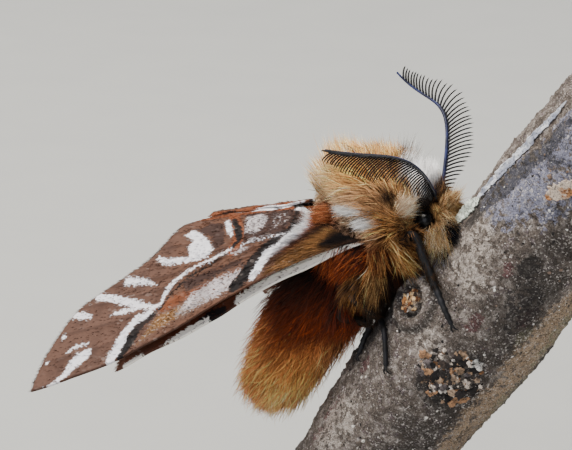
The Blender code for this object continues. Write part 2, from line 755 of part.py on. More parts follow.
def build_stand(maker, material):
    """The flat base, and the rod that ends just under the perch's bark."""
    base = bmesh.new()
    bmesh.ops.create_cube(base, size=1.0)
    bmesh.ops.scale(base, vec=BASE_SIZE, verts=base.verts)
    bmesh.ops.translate(base, vec=(0.0, 0.0, BASE_SIZE.z / 2), verts=base.verts)
    upright = [edge for edge in base.edges
               if abs(edge.verts[0].co.z - edge.verts[1].co.z) > BASE_SIZE.z / 2]
    bmesh.ops.bevel(base, geom=upright, offset=BASE_CORNER, segments=4, profile=0.5,
                    affect="EDGES", material=-1)
    top = [face for face in base.faces if face.normal.z > 0.9]
    rim = [edge for face in top for edge in face.edges]
    bmesh.ops.bevel(base, geom=rim, offset=BASE_BEVEL, segments=2, profile=0.5,
                    affect="EDGES", material=-1)
    finish_shading(maker.add("stand_base", base, material, on_origin=False))

    foot = Vector((ROD_PLACE[0], ROD_PLACE[1], BASE_SIZE.z + GAP - MOTH_PLACE.z))
    rod = maker.add("stand_rod", tube([foot, foot + UP * ROD_REACH], [ROD_RADIUS, ROD_RADIUS],
                                      20, up=Vector((0.0, 1.0, 0.0))), material)
    maker.cut(rod, branch_cutters())
    finish_shading(rod)


def main():
    """Build every part in order."""
    for old in list(bpy.data.objects):
        bpy.data.objects.remove(old, do_unlink=True)
    maker = Maker()
    both = (RIGHT, LEFT)

    fur = make_material("tan_fur", (0.42, 0.22, 0.09), 0.9)
    dark_fur = make_material("red_brown_fur", (0.16, 0.04, 0.015), 0.9)
    scales = make_material("wing_scales", (0.22, 0.11, 0.07), 0.8)
    pale_scales = make_material("pale_wing_scales", (0.78, 0.72, 0.64), 0.8)
    shell = make_material("black_shell", (0.02, 0.02, 0.025), 0.35)
    eye_shell = make_material("eye_shell", (0.01, 0.008, 0.008), 0.15)
    bark = make_material("bark", (0.24, 0.20, 0.18), 0.85)
    stand = make_material("stand_metal", (0.05, 0.05, 0.055), 0.45)

    perch = maker.joined("perch", [perch_form(), knot_form()], bark)
    head = maker.joined("head", [head_form()] + head_locks(), fur)
    maker.cut(head, [eye_form(side, GAP) for side in both] + branch_cutters())
    eyes = [maker.add("eye_" + SIDE_NAMES[side], eye_form(side), eye_shell) for side in both]

    legs, antennae, wings = [], [], []
    for side in both:
        name = SIDE_NAMES[side]
        antenna = maker.joined("antenna_" + name, antenna_forms(side), shell)
        maker.cut(antenna, [head_form(GAP)] + head_locks(GAP) + [eye_form(side, GAP)])
        antennae.append(antenna)
        for leg in LEGS:
            limb = maker.joined("leg_" + leg.name + "_" + name, leg.forms(side), shell)
            maker.cut(limb, [thorax_form(GAP), head_form(GAP), abdomen_form(GAP),
                             eye_form(side, GAP)] + branch_cutters())
            legs.append(limb)
        for wing, material in ((FOREWING, scales), (HINDWING, pale_scales)):
            sheet = maker.add(wing.name + "_" + name, wing.form(side), material)
            maker.cut(sheet, [thorax_form(GAP)])
            wings.append(sheet)

    passing = [form for side in both for leg in LEGS for form in leg.forms(side, GAP)]
    passing += [wing.form(side, GAP) for side in both for wing in (FOREWING, HINDWING)]
    passing += [form for side in both for form in antenna_forms(side, GAP)]
    thorax = maker.coated("thorax", thorax_form(), thorax_locks(), passing, fur)
    maker.cut(thorax, [head_form(GAP)] + head_locks(GAP) + [eye_form(side, GAP) for side in both]
              + branch_cutters())

    passing = [form for side in both for leg in LEGS[1:] for form in leg.forms(side, GAP)]
    passing += [wing.form(side, GAP) for side in both for wing in (FOREWING, HINDWING)]
    abdomen = maker.coated("abdomen", abdomen_form(), abdomen_locks(), passing, dark_fur)
    maker.cut(abdomen, [thorax_form(GAP)] + thorax_locks(GAP) + branch_cutters())

    for obj in [perch, head, thorax, abdomen] + eyes + antennae + legs + wings:
        finish_shading(obj)
    build_stand(maker, stand)


main()
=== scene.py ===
"""Looks of a male Kentish glory moth clinging to a cut length of branch on a plain stand.

Shapes are worked out in millimetres in the moth's own frame: X forward, Y to the moth's left,
Z up, from the middle of the thorax.  Paired parts are written once, with Y measured outwards.
"""
import logging
import math
from collections.abc import Callable
from dataclasses import dataclass
from enum import Enum, IntEnum

import bmesh
import bpy
import numpy as np
from mathutils import Matrix, Vector, noise


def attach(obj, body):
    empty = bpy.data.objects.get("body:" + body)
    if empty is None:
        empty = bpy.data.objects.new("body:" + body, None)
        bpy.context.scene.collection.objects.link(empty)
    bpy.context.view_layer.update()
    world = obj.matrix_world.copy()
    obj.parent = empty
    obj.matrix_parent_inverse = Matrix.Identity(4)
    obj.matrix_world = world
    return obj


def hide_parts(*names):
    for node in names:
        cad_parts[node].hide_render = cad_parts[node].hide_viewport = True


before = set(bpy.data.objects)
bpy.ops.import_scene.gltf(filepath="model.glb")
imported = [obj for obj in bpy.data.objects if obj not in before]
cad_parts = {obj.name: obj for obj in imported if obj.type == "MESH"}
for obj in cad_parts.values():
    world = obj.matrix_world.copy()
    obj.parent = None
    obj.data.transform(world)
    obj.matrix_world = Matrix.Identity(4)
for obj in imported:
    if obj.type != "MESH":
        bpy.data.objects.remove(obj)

log = logging.getLogger("moth")

MM = 0.001
MOTH_PLACE = (-4.5, 0.0, 28.2)
BODY = "root"
PHOTO_SIZE = (572, 450)
Array = np.ndarray
Material = bpy.types.Material
Mesh = bpy.types.Mesh
Socket = bpy.types.NodeSocket
Item = bpy.types.Object
Draw = np.random.Generator
Skin = tuple[Array, Array, Array]
Triple = tuple[float, float, float]
Pair = tuple[float, float]


class Side(Enum):
    """The two sides of the moth, as the sign of Y."""

    RIGHT = -1
    LEFT = 1

    @property
    def word(self) -> str:
        """The side's name in lower case."""
        return self.name.lower()


class Pigment(Enum):
    """Channels that a wing's marks are painted in."""

    WHITE = 0
    BLACK = 1
    RUST = 2
    OCHRE = 3
    DARK = 4
    DUST = 5


WHITE, BLACK, RUST, OCHRE, DARK, DUST = Pigment


def smooth(value: Array, low: float = 0.0, high: float = 1.0) -> Array:
    """Smooth step from 0 at low to 1 at high."""
    held = np.clip((np.asarray(value, float) - low) / (high - low), 0, 1)
    return held * held * (3 - 2 * held)


def steps_to(count: int) -> Array:
    """So many even steps from 0 to 1."""
    return np.linspace(0.0, 1.0, count)


def between(ends: Pair, t: Array) -> Array:
    """Values at t between two ends."""
    return ends[0] + (ends[1] - ends[0]) * t


def unit(rows: Array) -> Array:
    """Rows scaled to length one."""
    return rows / np.maximum(np.linalg.norm(rows, axis=-1, keepdims=True), 1e-9)


def square_to(way: Array, axis: Array) -> Array:
    """The part of each direction that is square to its axis, as unit rows."""
    return unit(way - axis * np.sum(way * axis, axis=-1, keepdims=True))


def mirrored(points: Array, side: Side) -> Array:
    """Points with Y measured outwards, set on the named side."""
    return np.asarray(points, float) * np.array([1.0, side.value, 1.0])


def spline(marks: Array, t: Array) -> Array:
    """Points on a smooth curve through the marks, evenly spaced in t.

    Args:
        marks: Rows that the curve passes through.
        t: Places along it, 0 to 1.

    Returns:
        One row for each t.
    """
    rows = np.asarray(marks, float)
    rows = np.vstack([2 * rows[0] - rows[1], rows, 2 * rows[-1] - rows[-2]])
    last = len(rows) - 3
    at = np.clip(np.asarray(t, float), 0, 1) * last
    k = np.minimum(at.astype(int), last - 1)
    u = (at - k)[..., None]
    p0, p1, p2, p3 = (rows[k + n] for n in range(4))
    return 0.5 * (2 * p1 + (p2 - p0) * u + (2 * p0 - 5 * p1 + 4 * p2 - p3) * u ** 2
                  + (3 * p1 - p0 - 3 * p2 + p3) * u ** 3)


def bezier(marks: Array, t: Array) -> Array:
    """Points at t on the cubic curve with these four control points."""
    a, b, c, d = np.asarray(marks, float)
    t = np.asarray(t, float)[..., None]
    u = 1 - t
    return a * u ** 3 + b * 3 * u * u * t + c * 3 * u * t * t + d * t ** 3


def grain(points: Array, scale: float, seed: float = 0.0, octaves: int = 3) -> Array:
    """Fractal noise at each point, about -1 to 1.

    Args:
        points: Rows in millimetres.
        scale: Size of the largest lumps in millimetres.
        seed: Shift that gives another pattern.
        octaves: Number of finer layers.
    """
    shift = Vector((seed, seed * 1.7, -seed))
    return np.array([noise.fractal(Vector(row) / scale + shift, 0.6, 2.0, octaves)
                     for row in points])


def linear(code: str) -> Triple:
    """Linear colour from an sRGB hex value such as C8A064."""
    parts = [int(code[k:k + 2], 16) / 255 for k in (0, 2, 4)]
    return tuple(p / 12.92 if p <= 0.04045 else ((p + 0.055) / 1.055) ** 2.4 for p in parts)


def mixed(under: Array, over: Array, share: Array) -> Array:
    """Colour rows with another colour laid over them by a share for each row."""
    share = np.asarray(share)[..., None]
    return under * (1 - share) + np.asarray(over) * share


def flat(code: str, count: int) -> Array:
    """Rows of one linear colour."""
    return np.tile(linear(code), (count, 1))


def seeded(seed: int) -> Draw:
    """Random draws that a seed sets."""
    return np.random.default_rng(seed)


def picked(codes: tuple[str, ...], draw: Draw, count: int) -> Array:
    """One of some hex values for each row, at random, as linear colours."""
    rows = np.array([linear(code) for code in codes])
    return rows[draw.integers(0, len(rows), count)]


class Step(Enum):
    """Usual steps of a finish: node type, sockets in the order they are fed, output, settings."""

    NOISE = ("TexNoise", ("Vector", "Scale", "Detail", "Roughness", "Distortion"), 0, {})
    CELLS = ("TexVoronoi", ("Vector", "Scale"), 1, {})
    STRETCH = ("Mapping", ("Vector", "Scale", "Rotation"), 0, {})
    RAMP = ("MapRange", ("Value", "From Min", "From Max", "To Min", "To Max"), 0,
            {"interpolation_type": "SMOOTHSTEP"})
    TIMES = ("Math", (0, 1), 0, {"operation": "MULTIPLY"})
    PLUS = ("Math", (0, 1), 0, {"operation": "ADD"})


NOISE, CELLS, STRETCH, RAMP, TIMES, PLUS = Step


class Look:
    """A material's shader, with its colour laid down in layers."""

    def __init__(self, name: str, ground: str | None = None, painted: str = "") -> None:
        """Start a material.

        Args:
            name: Name of the real material.
            ground: Hex value of the lowest layer.
            painted: Colours stored on the mesh, as the lowest layer instead.
        """
        self.material = bpy.data.materials.new(name)
        self.material.use_nodes = True
        self.tree = self.material.node_tree
        self.shader = self.tree.nodes["Principled BSDF"]
        self.colour: Socket | tuple = (*linear(ground), 1.0) if ground else (
            self.node("Attribute", attribute_name=painted).outputs["Color"])

    def feed(self, node: bpy.types.Node, inputs: dict) -> None:
        """Give sockets of a node their values, or sockets to link from."""
        for socket, value in inputs.items():
            if isinstance(value, Socket):
                self.tree.links.new(value, node.inputs[socket])
            else:
                node.inputs[socket].default_value = value

    def node(self, kind: str, inputs: dict | None = None, **settings: object) -> bpy.types.Node:
        """Add a shader node.

        Args:
            kind: Node type without its common prefix.
            inputs: What feeds its sockets, by name or number.
            settings: The node's own properties.
        """
        made = self.tree.nodes.new(f"ShaderNode{kind}")
        for name, value in settings.items():
            setattr(made, name, value)
        self.feed(made, inputs or {})
        return made

    def place(self, per_mm: float) -> Socket:
        """Object coordinates scaled so that a noise of scale 1 has lumps of 1 mm over per_mm."""
        place = self.node("TexCoord").outputs["Object"]
        return self.node("VectorMath", {0: place, "Scale": per_mm / MM}, operation="SCALE").outputs[0]

    def via(self, step: Step, *values: Socket | float | Triple) -> Socket:
        """Add one of the usual nodes.

        Args:
            step: Which one.
            values: What feeds its sockets, in order; those left out keep their defaults.

        Returns:
            The socket with its result.
        """
        kind, sockets, output, settings = step.value
        return self.node(kind, dict(zip(sockets, values)), **settings).outputs[output]

    def torn(self, share: Socket, tear: Socket, half: float, most: float = 1.0) -> Socket:
        """A painted mark with its edge torn by a noise, and half as wide as this."""
        return self.via(RAMP, self.via(PLUS, share, tear), 0.5 - half, 0.5 + half, 0.0, most)

    def marks(self, name: str) -> tuple[list[Socket], Socket]:
        """Six channels of marks stored on the mesh as name_a and name_b, and a seventh."""
        first, second = (self.node("Attribute", attribute_name=f"{name}_{k}") for k in "ab")
        split = [self.node("SeparateColor", {0: layer.outputs[0]}) for layer in (first, second)]
        return [*split[0].outputs[:3], *split[1].outputs[:3]], first.outputs["Alpha"]

    def lay(self, code: str, share: Socket) -> None:
        """Lay a colour over those beneath, by a share."""
        self.colour = self.node("Mix", {0: share, 6: self.colour, 7: (*linear(code), 1.0)},
                                data_type="RGBA").outputs[2]

    def finish(self, roughness: Socket | float, relief: Socket | None = None,
               strength: float = 1.0, depth_mm: float = 0.0, gloss: float = 0.5,
               metal: float = 0.0) -> Material:
        """Join the colour and the rest to the shader.

        Args:
            roughness: How matt it is.
            relief: Height of its fine relief.
            strength: Share of the relief that shows.
            depth_mm: Depth of the relief.
            gloss: Strength of its reflections.
            metal: 1 for a metal.

        Returns:
            The material.
        """
        inputs = {"Base Color": self.colour, "Roughness": roughness, "Metallic": metal,
                  "Specular IOR Level": gloss}
        if relief is not None:
            inputs["Normal"] = self.node("Bump", {"Strength": strength, "Distance": depth_mm * MM,
                                                  "Height": relief}).outputs[0]
        self.feed(self.shader, inputs)
        return self.material


def linked(name: str, data: bpy.types.ID) -> Item:
    """A new object in the scene."""
    made = bpy.data.objects.new(name, data)
    bpy.context.scene.collection.objects.link(made)
    return made


def add_piece(mesh: Mesh, material: Material, slot: str, *nodes: str) -> Item:
    """Put a finished mesh in the scene as a piece that rides on the model's one body.

    Args:
        mesh: Its shape in the model's frame, under the piece's name.
        material: Its finish.
        slot: Name of a material slot; not used.
        nodes: Solids that it stands in for.
    """
    mesh.shade_smooth()
    mesh.materials.append(material)
    piece = linked(mesh.name, mesh)
    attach(piece, BODY)
    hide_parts(*nodes)
    log.info("%s: %d faces", mesh.name, len(mesh.polygons))
    return piece


def thicken(piece: Item, thickness_mm: float) -> None:
    """Give a sheet its thickness, inwards."""
    shell = piece.modifiers.new("thickness", "SOLIDIFY")
    shell.thickness = thickness_mm * MM
    shell.offset = -1.0


def placed(points: Array) -> Array:
    """Points of the moth's frame in metres in the model's frame."""
    return (np.asarray(points, float) + MOTH_PLACE) * MM


def move_points(mesh: Mesh, points: Array) -> None:
    """Set the mesh's points, given in the moth's frame."""
    mesh.vertices.foreach_set("co", placed(points).ravel())


def mesh_from_triangles(name: str, points: Array, faces: Array) -> Mesh:
    """A mesh from arrays of points, in the moth's frame, and triangles."""
    mesh = bpy.data.meshes.new(name)
    mesh.vertices.add(len(points))
    move_points(mesh, points)
    mesh.loops.add(faces.size)
    mesh.loops.foreach_set("vertex_index", faces.ravel().astype(np.int32))
    mesh.polygons.add(len(faces))
    mesh.polygons.foreach_set("loop_start", np.arange(0, faces.size, 3, dtype=np.int32))
    mesh.update(calc_edges=True)
    mesh.validate()
    return mesh


def set_colours(mesh: Mesh, name: str, colours: Array) -> None:
    """Store one linear colour for each vertex."""
    layer = mesh.color_attributes.new(name, "FLOAT_COLOR", "POINT")
    rows = np.ones((len(colours), 4), np.float32)
    rows[:, :colours.shape[1]] = colours
    layer.data.foreach_set("color", rows.ravel())


def set_corners(mesh: Mesh, name: str, places: Array) -> None:
    """Store one UV place for each vertex under the named map."""
    layer = mesh.uv_layers.new(name=name)
    index = np.empty(len(mesh.loops), np.int32)
    mesh.loops.foreach_get("vertex_index", index)
    layer.data.foreach_set("uv", places[index].astype(np.float32).ravel())


def read_points(mesh: Mesh) -> Array:
    """The mesh's points as rows."""
    rows = np.empty(len(mesh.vertices) * 3, np.float32)
    mesh.vertices.foreach_get("co", rows)
    return rows.reshape(-1, 3).astype(float)


def mesh_of(name: str, bm: bmesh.types.BMesh) -> Mesh:
    """A new mesh from finished edits."""
    mesh = bpy.data.meshes.new(name)
    bm.to_mesh(mesh)
    bm.free()
    return mesh


def grid_mesh(name: str, rows: int, columns: int) -> tuple[Mesh, Array, Array]:
    """A net of quads, with how far along and across it each point lies, 0 to 1."""
    bm = bmesh.new()
    bmesh.ops.create_grid(bm, x_segments=rows, y_segments=columns, size=0.5)
    mesh = mesh_of(name, bm)
    net = read_points(mesh)[:, :2] + 0.5
    return mesh, net[:, 0], net[:, 1]


def set_marks(mesh: Mesh, name: str, shares: Array, extra: Array) -> None:
    """Store six channels of marks, and a seventh, as name_a and name_b."""
    set_colours(mesh, f"{name}_a", np.column_stack([shares[:, :3], extra]))
    set_colours(mesh, f"{name}_b", shares[:, 3:])


def welded(mesh: Mesh, gap_mm: float) -> bmesh.types.BMesh:
    """The mesh opened for edits, with points that meet joined."""
    bm = bmesh.new()
    bm.from_mesh(mesh)
    bmesh.ops.remove_doubles(bm, verts=bm.verts, dist=gap_mm * MM)
    return bm


def tube_arrays(paths: Array, radii: Array, over: Array, sides: int) -> tuple[Array, Array]:
    """Closed tapered tubes that end in a point, all with the same number of steps.

    Args:
        paths: Points of each tube, as tubes by steps by three; the last point is the tip.
        radii: Radius at each step but the last, as tubes by steps.
        over: Direction for each tube that its flat side faces.
        sides: Corners of each ring.

    Returns:
        Points and triangles of them all.
    """
    count, steps, _ = paths.shape
    rings = steps - 1
    along = unit(np.concatenate([paths[:, 1:2] - paths[:, :1],
                                 paths[:, 2:] - paths[:, :-2]], axis=1))
    up = square_to(np.broadcast_to(over[:, None, :], along.shape), along)
    across = np.cross(along, up)
    turn = np.arange(sides) * math.tau / sides
    rim = (across[:, :, None, :] * np.cos(turn)[None, None, :, None]
           + up[:, :, None, :] * np.sin(turn)[None, None, :, None])
    ring_points = paths[:, :rings, None, :] + rim * radii[:, :, None, None]
    points = np.concatenate([ring_points.reshape(count, rings * sides, 3), paths[:, -1:]], axis=1)
    faces = []
    for ring in range(rings - 1):
        for k in range(sides):
            a, b = ring * sides + k, ring * sides + (k + 1) % sides
            faces += [(a, b, b + sides), (a, b + sides, a + sides)]
    end, tip = (rings - 1) * sides, rings * sides
    faces += [(end + k, end + (k + 1) % sides, tip) for k in range(sides)]
    faces += [(0, k + 1, k) for k in range(1, sides - 1)]
    pattern = np.array(faces)
    offset = np.arange(count)[:, None, None] * (tip + 1)
    return points.reshape(-1, 3), (pattern[None] + offset).reshape(-1, 3)


@dataclass
class Egg:
    """An egg-shaped core: half lengths along X, Y and Z, its length dipped about Y."""

    centre: Triple
    half: Triple
    dip: float = 0.0

    def turn(self) -> Array:
        """Matrix from the egg's own axes to the moth's frame."""
        return np.array(Matrix.Rotation(-self.dip, 3, "Y"))

    def skin(self, ways: Array) -> Skin:
        """Points on the egg for unit rows, with normals and places on its unwrap, 0 to 1."""
        half, turn = np.array(self.half), self.turn().T
        round_x = np.arctan2(ways[:, 2], ways[:, 1]) / math.tau + 0.5
        return (ways * half @ turn + self.centre, unit(ways / half) @ turn,
                np.stack([round_x, ways[:, 0] / 2 + 0.5], axis=1))

    def sample(self, draw: Draw, count: int) -> Skin:
        """Random places, spread evenly, as the skin's points, normals and places."""
        ways = unit(draw.normal(size=(count * 2, 3)))
        swell = np.linalg.norm(ways / np.array(self.half), axis=1)
        return self.skin(ways[draw.random(len(ways)) < swell / swell.max()][:count])

    def nearest(self, points: Array) -> Skin:
        """The skin's points, normals and places along rays from the centre to points."""
        own = (np.asarray(points) - self.centre) @ self.turn()
        return self.skin(unit(own / np.array(self.half)))

    def depth_share(self, points: Array) -> Array:
        """How far out points are: 0 at the centre, 1 on the surface."""
        own = (np.asarray(points) - self.centre) @ self.turn()
        return np.linalg.norm(own / np.array(self.half), axis=1)


@dataclass
class Bend:
    """A round core along a bent route."""

    route: tuple[Triple, ...]
    radii: Pair
    round_end: float = 0.12

    def radius(self, t: Array) -> Array:
        """Radius at t along the route."""
        return between(self.radii, np.asarray(t, float))

    def heading(self, t: Array) -> Array:
        """Direction of the route at t."""
        t = np.asarray(t, float)
        return unit(bezier(self.route, np.minimum(t + 0.02, 1.02)) - bezier(self.route, t - 0.02))

    def sample(self, draw: Draw, count: int
               ) -> Skin:
        """Random places on the core and its rounded tip.

        Returns:
            Points, normals, and places on the core's unwrap, 0 to 1.
        """
        t = draw.random(count) * (1 + self.round_end)
        turn = draw.random(count) * math.tau
        on = np.minimum(t, 1.0)
        along = self.heading(on)
        over = square_to(np.broadcast_to([-1.0, 0.0, 0.4], along.shape), along)
        across = np.cross(along, over)
        ring = over * np.cos(turn)[:, None] + across * np.sin(turn)[:, None]
        past = np.clip((t - 1) / self.round_end, 0, 1)[:, None]
        tip_way = unit(ring * np.sqrt(1 - past ** 2) + along * past)
        normals = np.where(past > 0.0, tip_way, ring)
        points = bezier(self.route, on) + normals * self.radius(on)[:, None]
        return points, normals, np.stack([turn / math.tau, t / (1 + self.round_end)], axis=1)


THORAX = Egg((0.05, 0.0, 0.3), (3.6, 3.25, 3.6), math.radians(38))
HEAD = Egg((5.05, 0.0, 0.9), (1.48, 1.5, 1.8))
ABDOMEN = Bend(((-1.6, 0.0, -3.6), (-4.0, 0.0, -6.6), (-6.1, 0.0, -10.0), (-7.3, 0.0, -12.6)),
               (2.4, 1.15))
EYE_PLACE = (5.24, 1.5, 1.09)
EYE_RADIUS = 0.9
ANTENNA_ROUTES = {
    Side.RIGHT: ((5.5, -0.45, 2.63), (5.97, -5.01, 7.46), (3.41, -4.53, 5.85),
                 (-0.51, -5.76, 6.46)),
    Side.LEFT: ((5.48, 0.45, 2.65), (4.66, 5.02, 9.70), (3.19, 4.24, 7.29), (-0.02, 4.55, 10.06)),
}


@dataclass(frozen=True)
class Spot:
    """A soft-edged patch of colour on the body, the same on both sides."""

    centre: Triple
    half: Triple
    colour: str
    strength: float = 1.0
    soft: float = 0.45

    def share(self, points: Array) -> Array:
        """How strongly the patch shows at each point."""
        own = np.abs(points * [1, 0, 1] + np.abs(points) * [0, 1, 0] - self.centre)
        reach = np.linalg.norm(own / np.array(self.half), axis=1)
        return self.strength * (1 - smooth(reach, 1 - self.soft, 1 + self.soft))


def layered(ground: str, points: Array, layers: tuple[tuple[str, Array], ...],
            spots: tuple[Spot, ...] = ()) -> Array:
    """Linear colour at each point: a ground, then layers of hex value and share, then spots."""
    rows = flat(ground, len(points))
    for code, share in (*layers, *((spot.colour, spot.share(points)) for spot in spots)):
        rows = mixed(rows, linear(code), share)
    return rows


COLLAR_SPOT = Spot((4.2, 0.0, 4.9), (1.6, 1.9, 1.5), "EEECEC", 1.0, 0.22)


@dataclass(frozen=True)
class BodyMarks:
    """Markings that the skin and the coat share, by place on the body."""

    crown: str = "CC9654"
    rear: str = "D8B68C"
    flank: str = "B4967A"
    under: str = "4A1E0A"
    front: str = "CE9A60"
    spots: tuple[Spot, ...] = (
        Spot((1.9, 3.9, 2.2), (1.5, 1.4, 1.1), "AC7A48", 0.6),
        Spot((2.6, 3.6, 0.6), (1.2, 1.4, 1.2), "BE8044", 0.6),
        Spot((-2.4, 3.1, 0.7), (1.5, 1.3, 1.3), "8A4420", 0.9),
        Spot((-0.6, 3.3, 0.2), (1.2, 0.9, 0.35), "3A2418", 0.8),
        Spot((-0.4, 3.6, -2.4), (3.4, 3.0, 2.0), "5E2008"),
        Spot((4.9, 3.0, -1.9), (1.3, 1.6, 1.6), "9A6430", 0.9),
        Spot((3.0, 2.2, -2.6), (1.1, 1.6, 1.4), "1C0C05", 0.95),
        Spot((2.9, 2.9, 2.9), (0.7, 0.8, 0.7), "1A0E08"),
        Spot((3.9, 2.9, 1.0), (0.5, 0.8, 0.8), "2A170C", 0.8),
        Spot((0.15, 4.0, 1.68), (0.95, 1.3, 0.36), "F6F1EC", 1.0, 0.2),
        Spot((1.25, 4.0, 0.95), (0.75, 1.3, 0.4), "F4EFE8", 1.0, 0.2),
        Spot((2.2, 4.0, -0.05), (0.45, 0.6, 0.3), "E2CFB4", 0.6, 0.4),
        Spot((4.4, 2.3, 2.5), (1.15, 0.95, 1.0), "E0C0A0", 1.0, 0.2),
        COLLAR_SPOT,
        Spot((3.1, 0.9, 5.8), (0.8, 1.4, 0.4), "3A2414", 0.8, 0.3),
    )

    def colours(self, points: Array) -> Array:
        """Linear colour of the thorax's coat at each point."""
        x, z = points[:, 0], points[:, 2]
        return layered(self.flank, points, (
            (self.crown, smooth(z - 0.2 * x, 1.6, 4.6)),
            (self.rear, smooth(-x, 0.6, 3) * smooth(z, 0.6, 2.4) * 0.75),
            (self.front, smooth(x - 0.25 * z, 0.8, 3) * 0.8),
            # The underside darkens: partly its own dark rust hair, partly painted shade.
            (self.under, 1 - smooth(z - 0.1 * x, -1.9, 0.3))), self.spots)


@dataclass(frozen=True)
class HeadMarks:
    """Markings of the face."""

    face: str = "C0905C"
    spots: tuple[Spot, ...] = (
        Spot((6.7, 0.0, 2.4), (0.9, 1.0, 1.2), "C49A68", 0.7),
        Spot((5.7, 0.0, 3.5), (0.9, 1.4, 0.8), "1E120A", 1.0, 0.3),
        COLLAR_SPOT,
        Spot((5.2, 2.1, 1.1), (0.85, 1.1, 1.25), "050302", 1.0, 0.2),
        Spot((5.2, 1.7, 2.6), (0.7, 0.9, 0.8), "0A0604", 1.0, 0.25),
        Spot((5.0, 1.9, -0.1), (0.7, 1.2, 0.9), "120A06", 0.9, 0.3),
    )

    def colours(self, points: Array) -> Array:
        """Linear colour of the face's coat at each point."""
        return layered(self.face, points, (), self.spots)


@dataclass(frozen=True)
class TailMarks:
    """Markings of the abdomen, from its dark root to its golden tip."""

    root: str = "1C0802"
    middle: str = "6E2C0C"
    low: str = "F2A25C"
    tip: str = "FFC686"
    back: str = "E2935A"
    belly: str = "8A6850"

    def colours(self, points: Array) -> Array:
        """Linear colour of the abdomen's coat at each point."""
        x, z = points[:, 0], points[:, 2]
        fall = -z + 0.15 * x
        back = smooth(0.1 * z - x, 4.9, 6.8) * smooth(fall, 5.5, 9)
        belly = smooth(x + 0.55 * (-z), 1.5, 3.5) * smooth(fall, 8, 10.5)
        return layered(self.root, points, (
            (self.middle, smooth(fall, 3.5, 8)), (self.low, smooth(fall, 7.5, 12.5)),
            (self.tip, smooth(fall, 11.5, 15.5)), (self.back, back * 0.7), (self.belly, belly * 0.6)))


BODY_MARKS, HEAD_MARKS, TAIL_MARKS = BodyMarks(), HeadMarks(), TailMarks()


@dataclass(frozen=True)
class HairCut:
    """How a stretch of coat grows: sizes in millimetres and how it lies."""

    length: float
    rise: float
    width: float
    steps: int = 4
    clump: float = 0.35
    clump_size: float = 0.9
    vary: float = 0.25
    wave: float = 0.12
    # root_shade is painted shade at the root; tip_light is painted light at the tip, partly the hair's
    # own paler tips.
    root_shade: float = 0.22
    tip_light: float = 0.3
    tint: float = 0.3
    lock_tint: float = 0.28


